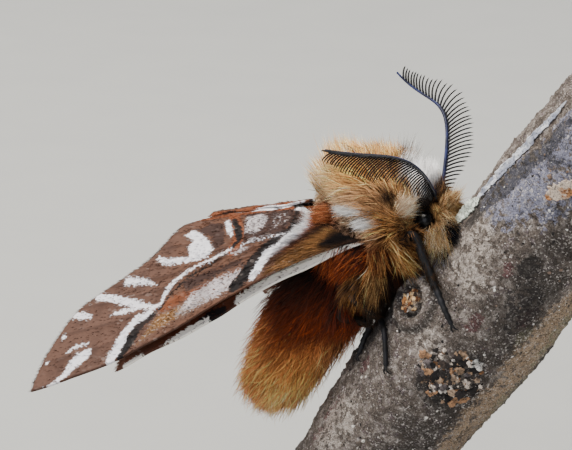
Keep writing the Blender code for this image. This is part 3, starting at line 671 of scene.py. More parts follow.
@dataclass
class Coat:
    """One piece of coat: many thin tapered tufts rooted in the skin."""

    name: str
    cut: HairCut
    seed: int
    paint: Callable[[Array], Array]
    finish: Material
    slot: str
    node: str
    seen_at: float = 0.7

    def grow(self, roots: Array, normals: Array, lie: Array, where: Array, scale: Array) -> None:
        """Grow tufts that rise from the skin and bend over to lie along it.

        Args:
            roots: Root of each tuft.
            normals: The skin's normal there.
            lie: Direction along the skin in which each tuft lies.
            where: Each root's place on the skin's unwrap.
            scale: Length of each tuft as a share of the cut's.
        """
        draw = seeded(self.seed)
        cut, count = self.cut, len(roots)
        length = cut.length * scale * (1 + cut.vary * draw.uniform(-1, 1, count))
        rise = cut.rise * (1 + 0.35 * draw.uniform(-1, 1, count))
        stray = draw.normal(size=(count, 3)) * cut.wave
        way = square_to(lie + stray, normals)
        t = steps_to(cut.steps)[None, :, None]
        size = length[:, None, None]
        paths = (roots[:, None] + normals[:, None] * size * rise[:, None, None]
                 * np.sin(t * math.pi / 2) + way[:, None] * size * t ** 1.4)
        bend = np.cross(normals, way)[:, None] * draw.normal(size=(count, 1, 1)) * cut.wave
        self.dress(paths + bend * size * t ** 2, normals, where, draw)

    def aim(self, roots: Array, normals: Array, where: Array, tips: Array) -> None:
        """Grow tufts that leave the skin square to it and end at given points."""
        draw = seeded(self.seed)
        cut = self.cut
        span = np.linalg.norm(tips - roots, axis=1, keepdims=True)
        ends = roots + (tips - roots) * (1 + cut.vary * draw.uniform(-1, 0.4, (len(roots), 1)))
        ends = ends + draw.normal(size=ends.shape) * cut.wave * span
        middle = roots + normals * span * cut.rise
        t = steps_to(cut.steps)[None, :, None]
        paths = (roots[:, None] * (1 - t) ** 2 + middle[:, None] * 2 * t * (1 - t)
                 + ends[:, None] * t ** 2)
        self.dress(paths, normals, where, draw)

    def dress(self, paths: Array, normals: Array, where: Array, draw: Draw
              ) -> None:
        """Gather the tufts in clumps, give them width, paint them and add the piece."""
        cut, count = self.cut, len(paths)
        t = steps_to(cut.steps)[None, :, None]
        paths, lock = self.gathered(paths, t, draw)
        width = cut.width * (0.8 + 0.4 * draw.random(count))[:, None]
        taper = np.linspace(1.0, 0.45, cut.steps - 1)[None]
        mesh = mesh_from_triangles(self.name, *tube_arrays(paths, width / 2 * taper, normals, 3))
        seen = paths[:, 0] + (paths[:, -1] - paths[:, 0]) * self.seen_at
        tone = np.exp(cut.lock_tint * draw.normal(size=(lock.max() + 1, 1)))[lock]
        self.shade(mesh, self.paint(seen) * tone, where, draw)
        add_piece(mesh, self.finish, self.slot, self.node)

    def gathered(self, paths: Array, t: Array, draw: Draw
                 ) -> tuple[Array, Array]:
        """Draw each tuft's end towards its lock's own end, and number the locks."""
        cut = self.cut
        cells = np.floor(paths[:, 0] / cut.clump_size + draw.random(3)).astype(int)
        _, which = np.unique(cells, axis=0, return_inverse=True)
        which = which.ravel()
        total = np.zeros((which.max() + 1, 3))
        np.add.at(total, which, paths[:, -1])
        centre = total / np.bincount(which)[:, None]
        pull = (centre[which] - paths[:, -1])[:, None]
        return paths + pull * cut.clump * t ** 1.5, which

    def shade(self, mesh: Mesh, colours: Array, where: Array,
              draw: Draw) -> None:
        """Shade each tuft from root to tip, and place it on the bake's map."""
        cut, count = self.cut, len(colours)
        per_tuft = (cut.steps - 1) * 3 + 1
        t = np.append(np.repeat(steps_to(cut.steps)[:-1], 3), 1.0)
        own = colours * np.exp(cut.tint * draw.normal(size=(count, 1)))
        # Painted shade darkens each tuft towards its root; its tip is lighter, partly its own paler
        # colour and partly painted light.
        lift = cut.root_shade + (1 + cut.tip_light - cut.root_shade) * smooth(t, 0, 0.9)
        rows = np.clip(own[:, None, :] * lift[None, :, None], 0, 0.95)
        set_colours(mesh, "coat", rows.reshape(-1, 3))
        turn = np.append(np.tile(np.arange(3) * math.tau / 3, cut.steps - 1), 0.0)
        patch = np.stack([np.cos(turn) * 0.0015 * (1 - t), (t - 0.5) * 0.003], axis=1)
        places = np.clip(where, 0.004, 0.996)[:, None, :] + patch[None]
        set_corners(mesh, "OFBake", places.reshape(count * per_tuft, 2))


@dataclass(frozen=True)
class Brush:
    """A tuft of longer fur: where its roots spread on the skin, and where its ends reach."""

    name: str
    seed: int
    core: Egg
    roots: Triple
    root_half: Triple
    tips: Triple
    tip_half: Triple
    count: int
    cut: HairCut
    codes: tuple[str, ...] = ()
    both: bool = True

    def painted(self, seen: Array) -> Array:
        """One of the tuft's own colours for each hair, at random."""
        return picked(self.codes, seeded(len(seen)), len(seen))

    def build(self, finish: Material) -> None:
        """Grow the tuft, and its twin on the other side."""
        marks, node = (HEAD_MARKS, "head") if self.core is HEAD else (BODY_MARKS, "thorax")
        draw = seeded(self.seed)
        ball = unit(draw.normal(size=(self.count, 3))) * draw.random((self.count, 1)) ** 0.4
        roots = np.array(self.roots) + ball * self.root_half
        other = ball * 0.65 + unit(draw.normal(size=ball.shape)) * 0.35
        tips = np.array(self.tips) + other * self.tip_half
        if self.both:
            twin = (np.arange(self.count) % 2 * 2 - 1)[:, None] * [0, 1, 0] + [1, 0, 1]
            roots, tips = roots * twin, tips * twin
        coat = Coat(f"{self.name}_fur", self.cut, self.seed,
                    self.painted if self.codes else marks.colours, finish, "tan_fur", node)
        coat.aim(*self.core.nearest(roots), tips)


LONG = HairCut(1.0, 0.35, 0.1, 4, 0.35, 0.5, 0.35, 0.12, 0.35, 0.25)
THICK = HairCut(1.0, 0.35, 0.11, 3, 0.25, 0.45, 0.45, 0.14, 0.3, 0.3, 0.4)
FINE = HairCut(1.0, 0.3, 0.06, 3, 0.25, 0.35, 0.3, 0.1)
COARSE = HairCut(1.0, 0.35, 0.07, 4, 0.35, 0.35, 0.4, 0.2, 0.12, 0.8, 0.5, 0.4)
WILD = HairCut(1.0, 0.35, 0.065, 3, 0.12, 0.4, 0.6, 0.2, tint=0.42)
BRUSHES = (
    Brush("collar", 601, HEAD, (4.6, 0, 2.4), (0.8, 1.3, 0.3), (4.35, 0, 4.85), (1.1, 1.6, 0.85), 2200,
        LONG, both=False),
    Brush("nape", 602, THORAX, (2.4, 0, 3.2), (0.9, 1.6, 0.5), (3.1, 0, 5.3), (0.9, 1.8, 0.6), 2200, LONG,
        both=False),
    Brush("crest", 603, HEAD, (5.5, 0, 2.4), (0.6, 1.1, 0.2), (5.6, 0, 3.45), (0.75, 1.3, 0.6), 1300,
        WILD, ("1E120A", "3A2414", "6A4A2A", "120A06"), both=False),
    Brush("nape_fringe", 619, THORAX, (2.0, 0.6, 3.2), (0.7, 0.7, 0.3), (2.9, 0.6, 5.75),
        (0.8, 0.8, 0.25), 700, WILD, ("2E1C10", "5E4026")),
    Brush("wing_root", 620, THORAX, (-1.7, 2.4, 0.9), (0.8, 0.5, 0.8), (-2.9, 3.2, 0.9), (0.7, 0.4, 0.9),
        1300, WILD, ("8A4826", "A66038", "6A3418", "B87850")),
    Brush("back", 613, THORAX, (-1.4, 0.9, 3.1), (1.3, 1.1, 0.5), (-2.4, 0.9, 5.6), (1.4, 1.1, 0.6), 1900,
        THICK, ("D8AC72", "C4904E", "E6CCA4", "B07C40")),
    Brush("rump", 623, THORAX, (-2.2, 1.0, 2.4), (0.9, 1.1, 0.9), (-3.9, 1.0, 3.9), (0.85, 0.8, 1.3),
        1700, THICK, ("DCBE94", "C8A070", "EEE2CE", "B08450")),
    Brush("crown", 624, THORAX, (1.0, 0.7, 3.6), (1.4, 0.9, 0.3), (0.7, 0.7, 5.75), (1.9, 0.9, 0.4), 1900,
        THICK, ("CE9A58", "B88242", "E4C494", "9A6A34")),
    Brush("cheek", 604, THORAX, (3.1, 1.7, 1.5), (0.7, 0.6, 0.8), (4.35, 2.35, 2.5), (1.1, 0.5, 1.0),
        2300, WILD),
    Brush("shoulder", 605, THORAX, (2.2, 2.4, 1.9), (0.6, 0.6, 0.8), (2.8, 3.0, 2.8), (0.6, 0.6, 0.8),
        1200, FINE),
    Brush("cover_high", 606, THORAX, (1.5, 3.0, 1.7), (0.8, 0.5, 0.35), (-0.35, 4.2, 1.85),
        (0.75, 0.3, 0.32), 1500, LONG, ("FAF8F6", "E4DCD2", "F2EDE8")),
    Brush("cover_low", 614, THORAX, (2.3, 3.0, 1.0), (0.6, 0.5, 0.35), (0.95, 4.2, 0.9), (0.55, 0.3, 0.3),
        1100, LONG, ("FAF8F6", "E4DCD2", "F2EDE8")),
    Brush("breast", 607, THORAX, (3.0, 2.2, -0.6), (0.7, 0.7, 0.7), (5.1, 3.1, -2.0), (0.8, 0.5, 1.0),
        2000, COARSE, ("A07040", "7E5028", "B48A58", "32200F")),
    Brush("flank", 615, THORAX, (2.0, 2.8, -0.9), (0.7, 0.5, 0.6), (2.8, 3.8, -2.5), (0.7, 0.4, 1.0),
        1400, COARSE, ("7A4A24", "94643A", "4A2410", "1E1008")),
    Brush("thigh_tuft", 616, THORAX, (1.9, 2.4, -2.0), (0.7, 0.5, 0.5), (2.0, 4.0, -4.7),
        (0.95, 0.45, 1.1), 1900, COARSE, ("6A4C2C", "54381E", "94744A", "221408")),
    # Dark fur hanging towards the branch: partly dark hair, partly painted shadow in the gap between body
    # and branch.
    Brush("belly", 611, THORAX, (2.0, 1.6, -2.4), (1.3, 1.2, 0.7), (3.1, 1.9, -4.4), (1.4, 1.5, 1.5),
        2000, COARSE, ("1A0A04", "2A1208", "0E0603")),
    Brush("throat", 621, THORAX, (3.0, 1.8, -1.0), (0.5, 0.7, 0.7), (4.3, 2.8, -2.2), (0.5, 0.4, 1.2),
        900, COARSE, ("3A2412", "1E0E06", "5E3E20", "140A05")),
    Brush("side", 608, THORAX, (0.0, 2.6, -1.5), (2.2, 0.8, 0.9), (-0.6, 3.7, -3.2), (2.5, 1.0, 1.6),
        3900, COARSE, ("3A1608", "7E3816", "5E240E", "9A4E26", "1E0A04")),
    Brush("brow", 609, HEAD, (5.0, 1.2, 2.2), (0.7, 0.4, 0.4), (5.15, 1.9, 2.7), (0.6, 0.4, 0.5), 700,
        FINE, ("0A0604", "1A0E08")),
    Brush("eye_ring", 612, HEAD, (5.1, 1.4, 0.9), (0.9, 0.4, 1.0), (5.15, 2.2, 0.9), (0.9, 0.25, 1.05),
        1200, FINE, ("050302", "100806")),
    Brush("beard", 610, HEAD, (5.8, 1.1, 0.4), (0.7, 0.5, 0.8), (6.9, 2.7, -0.5), (1.3, 0.3, 1.15), 2700,
        WILD, ("EABE8C", "D2A26C", "F2D6AE", "A27444")),
    Brush("chin", 617, HEAD, (5.7, 0.9, -0.1), (0.7, 0.6, 0.6), (7.5, 2.9, -1.25), (0.9, 0.2, 0.4), 1000,
        FINE, ("08070A", "14100E")),
    Brush("muzzle", 618, HEAD, (6.2, 0.7, 0.7), (0.4, 0.5, 0.7), (8.15, 2.5, 0.25), (0.26, 0.2, 1.0),
        1100, THICK, ("08070A", "0C0C14")),
    Brush("front", 625, HEAD, (6.0, 0.5, 1.8), (0.4, 0.5, 0.6), (6.85, 0.6, 2.75), (0.35, 0.5, 0.95),
        1300, WILD, ("CEA474", "AC7E4A", "E4BE90", "765230")),
    Brush("groin", 626, THORAX, (1.0, 1.6, -2.9), (0.8, 1.0, 0.4), (1.75, 2.2, -6.4), (0.9, 1.1, 1.1),
        3000, THICK, ("1A1008", "0E0805", "2E1C0E")),
    Brush("lip", 622, HEAD, (6.2, 0.8, 1.2), (0.4, 0.6, 0.8), (7.5, 1.9, 0.95), (0.5, 0.5, 0.9), 1100,
        WILD, ("D2A676", "AC7E50", "E6C092", "785230")),
)


@dataclass(frozen=True)
class HairFinish:
    """Moth hair: fine, dry, slightly glossy along its length, coloured by the coat's markings."""

    name: str
    roughness: float = 0.6

    def build(self) -> Material:
        """Make the material."""
        return Look(self.name, painted="coat").finish(self.roughness, gloss=0.2)


@dataclass(frozen=True)
class ShellFinish:
    """Insect cuticle: hard, dark and smooth, with a faint blue sheen painted into its colour in patches.
    """

    name: str
    colour: str
    roughness: float
    grain_mm: float = 0.08
    depth: float = 0.15
    second: str = "1E2436"
    gloss: float = 0.35

    def build(self) -> Material:
        """Make the material."""
        look = Look(self.name, self.colour)
        place = look.place(1 / self.grain_mm)
        fine = look.via(NOISE, place, 1.0, 3.0)
        # Painted sheen: patches of the second colour laid into the cuticle's colour.
        look.lay(self.second, look.via(RAMP, look.via(NOISE, place, 0.12), 0.4, 0.7))
        rough = look.via(RAMP, fine, 0.3, 0.7, self.roughness - 0.08, self.roughness + 0.1)
        return look.finish(rough, fine, self.depth, 0.02, self.gloss)


ROOF_EDGE_ROOT = (1.35, 3.2, -0.31)
ROOF_APEX = (-19.85, 14.0, -11.69)
WING_MIDDLE_GAP = 0.45


def roof_share(w: Array) -> Array:
    """How much of its drop the wings' roof has made at w of its half width."""
    level, steep = 0.06, 0.60
    run = steep - level

    def fallen(at: Array) -> Array:
        """The drop made by then, before it is scaled to 1."""
        held = np.clip((at - level) / run, 0, 1)
        return run * (held ** 3 - held ** 4 / 2) + np.maximum(at - steep, 0.0)

    return fallen(np.asarray(w, float)) / fallen(np.array(1.0))


def roof_height(x: Array, out: Array) -> Array:
    """Height of the folded forewings' upper face at x, this far out from the middle line."""
    run = (ROOF_EDGE_ROOT[0] - x) / (ROOF_EDGE_ROOT[0] - ROOF_APEX[0])
    edge_out = ROOF_EDGE_ROOT[1] + run * (ROOF_APEX[1] - ROOF_EDGE_ROOT[1])
    edge_z = ROOF_EDGE_ROOT[2] + run * (ROOF_APEX[2] - ROOF_EDGE_ROOT[2])
    ridge_z = 0.48 + 0.243 * (x + 6.1)
    return ridge_z - (ridge_z - edge_z) * roof_share(
        (out - WING_MIDDLE_GAP) / (edge_out - WING_MIDDLE_GAP))


def roof_normal(x: Array, out: Array) -> Array:
    """Outward normal of the roof."""
    step = 0.05
    z = roof_height(x, out)
    slope_x = (roof_height(x + step, out) - z) / step
    slope_y = (roof_height(x, out + step) - z) / step
    return unit(np.stack([-slope_x, -slope_y, np.ones_like(z)], axis=-1))


def line_gap(plan: Array, a: Array, b: Array) -> tuple[Array, Array]:
    """Distance of each place from the line between two points, and how far along it lies."""
    run = b - a
    u = np.clip((plan - a) @ run / max(run @ run, 1e-9), 0, 1)
    return np.linalg.norm(plan - a - u[:, None] * run, axis=1), u


@dataclass(frozen=True)
class Streak:
    """A line of scales along points of the wing's plan, with a width at each point."""

    pigment: Pigment
    points: tuple[Pair, ...]
    widths: tuple[float, ...]
    strength: float = 1.0

    def share(self, plan: Array, soft: float) -> Array:
        """How strongly the line covers each place of the plan."""
        marks = np.array(self.points, float)
        fine = spline(marks, steps_to(8 * len(marks)))
        widths = np.interp(steps_to(len(fine)), steps_to(len(self.widths)), self.widths)
        best = np.full(len(plan), 9.0)
        for a, b, wide_a, wide_b in zip(fine, fine[1:], widths, widths[1:]):
            gap, u = line_gap(plan, a, b)
            best = np.minimum(best, gap - (wide_a + (wide_b - wide_a) * u) / 2)
        return self.strength * (1 - smooth(best, -soft, soft))


@dataclass(frozen=True)
class Field:
    """A patch of scales inside an outline on the wing's plan."""

    pigment: Pigment
    points: tuple[Pair, ...]
    strength: float = 1.0
    soft: float = 0.2

    def share(self, plan: Array, soft: float) -> Array:
        """How strongly the patch covers each place of the plan."""
        corners = np.array(self.points, float)
        inside = np.zeros(len(plan), bool)
        best = np.full(len(plan), 9.0)
        for a, b in zip(corners, np.roll(corners, -1, axis=0)):
            run = b - a
            best = np.minimum(best, line_gap(plan, a, b)[0])
            spans = (a[1] > plan[:, 1]) != (b[1] > plan[:, 1])
            cross = a[0] + (plan[:, 1] - a[1]) / (run[1] if run[1] else 1e-9) * run[0]
            inside ^= spans & (plan[:, 0] < cross)
        away = np.where(inside, -best, best)
        width = max(soft, self.soft)
        return self.strength * (1 - smooth(away, -width, width))


FOREWING_MARKS = (
    Field(RUST, ((-3.9, 1.4), (-3.1, 1.2), (-1.5, 2.6), (-0.8, 2.7), (-2.4, 3.3), (-3.4, 4.1),
        (-4.4, 4.7), (-3.6, 3.5)), 0.95, 0.3),
    Field(OCHRE, ((-5.3, 5.9), (-4.1, 4.6), (-2.4, 3.5), (-1.0, 3.0), (0.8, 3.2), (-0.6, 4.0),
        (-2.4, 4.7), (-4.1, 5.6)), 0.85, 0.35),
    Field(OCHRE, ((-8.2, 7.3), (-9.9, 8.4), (-11.9, 9.7), (-13.0, 10.7), (-12.4, 8.9), (-10.2, 7.9)), 0.8,
        0.3),
    Streak(RUST, ((-12.9, 8.7), (-11.3, 7.9), (-9.9, 7.2), (-8.5, 6.4), (-7.0, 5.7)),
        (0.7, 0.7, 0.4, 0.3, 0.2), 0.75),
    Streak(RUST, ((-14.4, 1.3), (-12.6, 0.9), (-10.6, 0.9), (-8.6, 1.0), (-5.1, 1.1)),
        (1.2, 1.5, 1.5, 1.3, 0.8), 0.95),
    Field(DARK, ((-11.6, 6.9), (-10.3, 6.4), (-9.0, 5.9), (-7.7, 5.3), (-7.0, 5.4), (-8.2, 5.9),
        (-9.7, 6.7), (-10.7, 7.4)), 0.95, 0.25),
    Field(DARK, ((-9.0, 1.6), (-7.4, 1.7), (-5.1, 1.5), (-4.4, 2.8), (-5.2, 3.8), (-6.7, 4.3),
        (-7.7, 4.5), (-8.1, 3.6)), 0.95, 0.3),
    Field(DARK, ((-12.0, 3.5), (-11.4, 2.6), (-10.2, 2.8), (-9.6, 3.8), (-9.2, 4.5), (-9.9, 4.9),
        (-10.5, 4.1)), 0.95, 0.2),
    Field(DUST, ((-6.9, 5.6), (-7.9, 6.0), (-9.0, 6.5), (-10.0, 7.2), (-10.5, 7.6), (-10.8, 8.5),
        (-10.8, 8.9), (-9.0, 7.9), (-7.5, 7.1), (-7.3, 6.8)), 0.7, 0.3),
    Field(DUST, ((-8.8, 2.0), (-7.5, 1.9), (-6.7, 2.5), (-6.6, 3.3), (-7.2, 3.8), (-8.0, 3.8)), 0.7,
        0.25),
    Field(DUST, ((-6.6, 2.0), (-5.4, 2.0), (-5.0, 2.9), (-6.0, 3.6)), 0.3, 0.3),
    Field(DUST, ((-8.7, 5.1), (-7.7, 4.6), (-7.1, 4.6), (-7.8, 5.0)), 0.8, 0.15),
    Field(WHITE, ((-12.9, 3.9), (-12.5, 3.4), (-11.8, 3.6), (-11.0, 4.1), (-10.4, 4.5), (-9.9, 4.9),
        (-10.1, 5.3), (-10.8, 5.6), (-11.6, 5.4), (-12.1, 4.8), (-11.9, 4.3)), 0.95, 0.22),
    Streak(RUST, ((-9.9, 1.9), (-8.9, 3.2), (-8.35, 4.0), (-8.4, 4.8)), (0.75, 0.8)),
    Streak(BLACK, ((-9.7, 2.3), (-8.7, 3.5), (-8.25, 4.1), (-8.45, 4.6)), (0.4, 0.5, 0.45, 0.3)),
    Streak(WHITE, ((-10.1, 2.5), (-9.5, 3.3), (-9.0, 3.9)), (0.32, 0.4, 0.25)),
    Streak(BLACK, ((-12.0, 0.6), (-11.2, 0.6)), (0.3, 0.3), 0.9),
    Streak(WHITE, ((-9.4, 0.4), (-8.4, 0.4), (-7.0, 0.45), (-5.7, 0.55)), (0.2, 0.8, 1.0, 0.8)),
    Streak(BLACK, ((-5.2, 0.9), (-4.7, 1.8), (-4.4, 2.6), (-4.5, 3.4), (-5.2, 4.0), (-5.8, 4.6),
        (-6.35, 5.3), (-6.75, 6.1), (-7.2, 6.7)), (0.45, 0.5, 0.6, 0.85, 0.95, 0.8)),
    Streak(WHITE, ((-4.7, 1.5), (-4.1, 1.5), (-3.5, 2.1), (-3.4, 2.9), (-3.9, 3.5), (-4.4, 3.9),
        (-5.0, 4.4), (-5.6, 4.9), (-5.9, 5.6), (-6.1, 6.1)),
        (0.7, 1.0, 0.9, 0.8, 0.7, 0.6, 0.55, 0.65, 0.65, 0.45)),
    Streak(WHITE, ((-7.8, 4.5), (-7.1, 4.2), (-5.5, 3.8), (-4.7, 3.6)), (0.12, 0.12), 0.8),
    Streak(WHITE, ((-14.1, 5.6), (-13.3, 5.8), (-11.9, 5.6), (-10.9, 5.4)), (0.25, 0.4, 0.35)),
    Streak(BLACK, ((-8.8, 5.1), (-9.5, 5.6), (-10.4, 6.2), (-11.1, 6.6), (-11.6, 7.2), (-12.0, 7.6),
        (-12.1, 8.1), (-12.3, 8.5), (-12.6, 8.7)), (0.1, 0.16)),
    Streak(BLACK, ((-12.7, 8.9), (-13.2, 9.3), (-13.5, 9.9), (-13.6, 10.3), (-13.8, 11.0), (-14.0, 11.3)),
        (0.5, 0.7, 0.7, 0.6)),
    Streak(WHITE, ((-8.6, 4.8), (-9.2, 5.1), (-9.8, 5.5), (-10.9, 6.0), (-11.7, 6.6), (-12.1, 7.0),
        (-12.4, 7.6), (-12.4, 8.2), (-12.8, 8.5), (-13.2, 9.0), (-13.8, 9.3), (-14.1, 9.8), (-14.3, 10.2),
        (-14.4, 10.9), (-14.6, 11.6)),
        (0.17, 0.17, 0.2, 0.2, 0.25, 0.3, 0.28, 0.25, 0.3, 0.4, 0.5, 0.5, 0.6, 0.7, 0.7)),
    Streak(WHITE, ((-15.8, 7.1), (-15.1, 7.1), (-14.2, 7.1), (-13.4, 7.2)), (0.5, 0.5, 0.3, 0.06)),
    Streak(WHITE, ((-17.7, 8.2), (-16.7, 8.2), (-15.4, 8.3), (-14.1, 8.4), (-12.9, 8.5)),
        (0.4, 0.45, 0.45, 0.4, 0.25)),
    Streak(WHITE, ((-16.0, 9.1), (-15.1, 8.9), (-14.0, 8.6)), (0.1, 0.3, 0.2)),
    Streak(WHITE, ((-18.9, 9.4), (-18.2, 9.4), (-17.5, 9.4)), (0.4, 0.4, 0.15)),
    Streak(WHITE, ((-19.1, 10.7), (-19.0, 10.7)), (0.25, 0.25)),
    Streak(WHITE, ((-19.6, 12.3), (-19.5, 12.3)), (0.15, 0.15)),
    Streak(WHITE, ((-18.2, 11.6), (-17.7, 11.2), (-16.9, 10.9)), (0.15, 0.2, 0.06)),
    Streak(WHITE, ((-16.6, 11.5), (-17.1, 11.9), (-17.5, 12.4), (-17.7, 12.9), (-18.2, 13.3),
        (-18.7, 13.7), (-19.4, 14.0)), (0.6, 0.8, 0.7, 0.45, 0.25, 0.15, 0.1)),
    Streak(BLACK, ((-4.4, 4.6), (-3.5, 3.9), (-2.1, 3.3), (-0.8, 2.7)), (0.2, 0.35, 0.4, 0.4), 0.9),
    Streak(BLACK, ((-1.6, 4.0), (-0.2, 3.45), (1.2, 2.95)), (0.4, 0.8, 0.8)),
)

HINDWING_MARKS = (
    Streak(WHITE, ((1.5, 3.1), (-0.4, 3.9), (-2.05, 4.5), (-4.8, 5.75), (-7.0, 7.1)),
        (0.5, 0.8, 0.95, 0.9, 0.6)),
    Streak(WHITE, ((-8.9, 8.6), (-10.2, 9.3), (-11.4, 10.0)), (0.6, 0.5, 0.15)),
    Streak(WHITE, ((-12.9, 10.95), (-13.4, 11.3), (-13.9, 11.6)), (0.35, 0.45, 0.3)),
    Streak(BLACK, ((-7.9, 7.8), (-8.6, 8.2), (-9.3, 8.6)), (0.5, 0.8, 0.5)),
    Field(DUST, ((-2.0, 3.4), (-6.0, 4.4), (-9.5, 5.6), (-12.0, 8.6), (-13.8, 9.0), (-12.6, 4.0),
        (-8.0, 1.6), (-4.0, 2.4)), 0.55, 0.8),
    Streak(BLACK, ((-6.5, 4.6), (-8.8, 6.4), (-9.6, 8.0)), (0.5, 0.4), 0.8),
)


@dataclass
class Wing:
    """One pair of wings: outline seen from above, depth under the roof, and its marks."""

    name: str
    costa_wave: float
    costa: tuple[Pair, ...]
    termen: tuple[Pair, ...]
    dorsum: tuple[Pair, ...]
    depth: float
    marks: tuple[Streak | Field, ...]
    rows: int = 180
    columns: int = 104
    thickness: float = 0.16
    vein_height: float = 0.07
    veins: int = 9
    fringe: int = 2000
    hairs: int = 2800
    scales: int = 2600
    soft: float = 0.22

    def node(self, side: Side) -> str:
        """The solid that this wing stands in for."""
        return f"{self.name}_{side.word}"

    def front(self, s: Array) -> Array:
        """The front edge at s from root to apex."""
        if self.costa:
            return spline(self.costa, s)
        root = np.array(ROOF_EDGE_ROOT[:2])
        line = root + (np.array(self.termen[0]) - root) * np.asarray(s)[..., None]
        return line - np.stack([0 * s, self.costa_wave * np.sin(math.tau * s)], axis=-1)

    def plan(self, s: Array, t: Array) -> Array:
        """Places on the wing's own net: s from root to outer edge, t from front to back."""
        s, t = np.asarray(s, float), np.asarray(t, float)
        u, v = s[..., None], t[..., None]
        root_front, root_back = self.front(np.array(0.0)), np.array(self.dorsum[0])
        apex, tornus = np.array(self.termen[0]), np.array(self.termen[-1])
        across = self.front(s) * (1 - v) + spline(self.dorsum, s) * v
        along = ((root_front * (1 - v) + root_back * v) * (1 - u)
                 + spline(self.termen, t) * u)
        corners = ((root_front * (1 - u) + apex * u) * (1 - v)
                   + (root_back * (1 - u) + tornus * u) * v)
        return across + along - corners

    def face(self, s: Array, t: Array, above: float = 0.0
             ) -> Skin:
        """Points on the wing's upper face, their normals and their places on the plan."""
        plan = self.plan(s, t)
        x, out = plan[..., 0], plan[..., 1]
        normal = roof_normal(x, out)
        rise = self.vein_height * self.vein(t, 0.018) * smooth(s, 0.05, 0.35) * (1 - smooth(s, 0.93, 1))
        ripple = 0.05 * np.sin(s * 31 + t * 9) * np.sin(t * 23 + 1) * smooth(s, 0.1, 0.6)
        point = np.stack([x, out, roof_height(x, out)], axis=-1)
        sunk = self.depth * (0.35 + 0.65 * smooth(s, 0, 0.25))
        return point + normal * (rise + ripple + above - sunk)[..., None], normal, plan

    def shares(self, plan: Array) -> Array:
        """How strongly each pigment covers each place, as places by pigments."""
        rows = np.zeros((len(plan), len(Pigment)))
        for mark in self.marks:
            column = mark.pigment.value
            rows[:, column] = np.maximum(rows[:, column], mark.share(plan, self.soft))
        return rows

    def vein(self, t: Array, width: float) -> Array:
        """How much of a vein each place holds, 1 along its middle."""
        return np.exp(-((t * self.veins + 0.5) % 1 - 0.5) ** 2 / width)

    def build(self, side: Side, finish: Material) -> None:
        """The membrane with its veins."""
        node = self.node(side)
        mesh, s, t = grid_mesh(f"{node}_scales", self.rows, self.columns)
        point, _, plan = self.face(s, t)
        move_points(mesh, mirrored(point, side))
        if side is Side.RIGHT:
            mesh.flip_normals()
        set_marks(mesh, "marks", self.shares(plan), self.vein(t, 0.008) * smooth(s, 0.25, 0.6))
        set_corners(mesh, "WingPlan", plan)
        thicken(add_piece(mesh, finish, "wing_scales", node), self.thickness)


PAINT_ORDER = (OCHRE, RUST, DARK, DUST, BLACK, WHITE)
THIN_LAYERS = {OCHRE: 0.9, DUST: 0.85}


@dataclass(frozen=True)
class WingPaint:
    """Colours of the wing's scales."""

    ground: str
    rim: str
    white: str = "F4F2F8"
    black: str = "120D0E"
    rust: str = "8A4A2A"
    ochre: str = "8A6238"
    dark: str = "3E2A24"
    dust: str = "DAD2D4"

    def code(self, pigment: Pigment) -> str:
        """Hex value of a pigment."""
        return getattr(self, pigment.name.lower())

    def colours(self, shares: Array, plan: Array) -> Array:
        """Linear colour for each row of pigment shares."""
        return layered(self.ground, plan, (
            (self.rim, smooth(-plan[:, 0], 11.5, 14.5)),
            *((self.code(pigment), shares[:, pigment.value]) for pigment in PAINT_ORDER)))


@dataclass(frozen=True)
class WingFinish:
    """Moth wing: overlapping dusty scales, matt, with ragged edges where colours meet."""

    name: str
    paint: WingPaint
    scale_mm: float = 0.12
    vein: str = "3A241C"
    gaps: str = "241712"
    ochre_bars: tuple[tuple[float, float, str], ...] = ((0.5, 0.6, "1E120E"), (0.45, 0.36, "D8CCC0"))
    pale_scales: str = "D2C2BA"
    worn: str = "3A2620"

    def build(self) -> Material:
        """Make the material."""
        look = Look(self.name, self.paint.ground)
        plan = look.node("UVMap", uv_map="WingPlan").outputs[0]
        size = (0.45 / self.scale_mm, 1 / self.scale_mm, 1.0)
        rows = look.via(STRETCH, plan, size, (0.0, 0.0, math.radians(24)))
        fine = look.via(NOISE, rows, 1.0, 2.5, 0.65)
        broad = look.via(NOISE, plan, 0.9, 4.0)
        tear = look.via(RAMP, fine, 0.15, 0.85, -0.6, 0.6)
        along = look.node("SeparateXYZ", {0: plan}).outputs[0]
        look.lay(self.paint.rim, look.via(RAMP, look.via(TIMES, along, -1), 10.5, 14.5))
        shares, vein = look.marks("marks")
        look.lay(self.vein, look.via(RAMP, vein, 0.1, 1, 0, 0.5))
        for pigment in PAINT_ORDER:
            share = shares[pigment.value]
            edge = look.torn(share, tear, 0.12, THIN_LAYERS.get(pigment, 1.0))
            held = look.via(TIMES, edge, look.via(RAMP, share, 0.02, 0.2))
            look.lay(self.paint.code(pigment), held)
        bare = look.via(RAMP, shares[WHITE.value], 0.2, 0.6, 1, 0.15)
        look.lay(self.gaps, look.via(TIMES, look.via(RAMP, fine, 0.45, 0.8, 0, 0.4), bare))
        for low, high, code in self.ochre_bars:
            bars = look.via(TIMES, shares[OCHRE.value], look.via(RAMP, fine, low, high))
            look.lay(code, look.via(TIMES, bars, 0.7))
        look.lay(self.pale_scales, look.via(RAMP, look.via(CELLS, rows, 0.9), 0.8, 0.98, 0, 0.2))
        look.lay(self.worn, look.via(TIMES, look.via(RAMP, broad, 0.42, 0.75, 0, 0.5), bare))
        return look.finish(0.7, fine, 0.5, 0.05, 0.2)


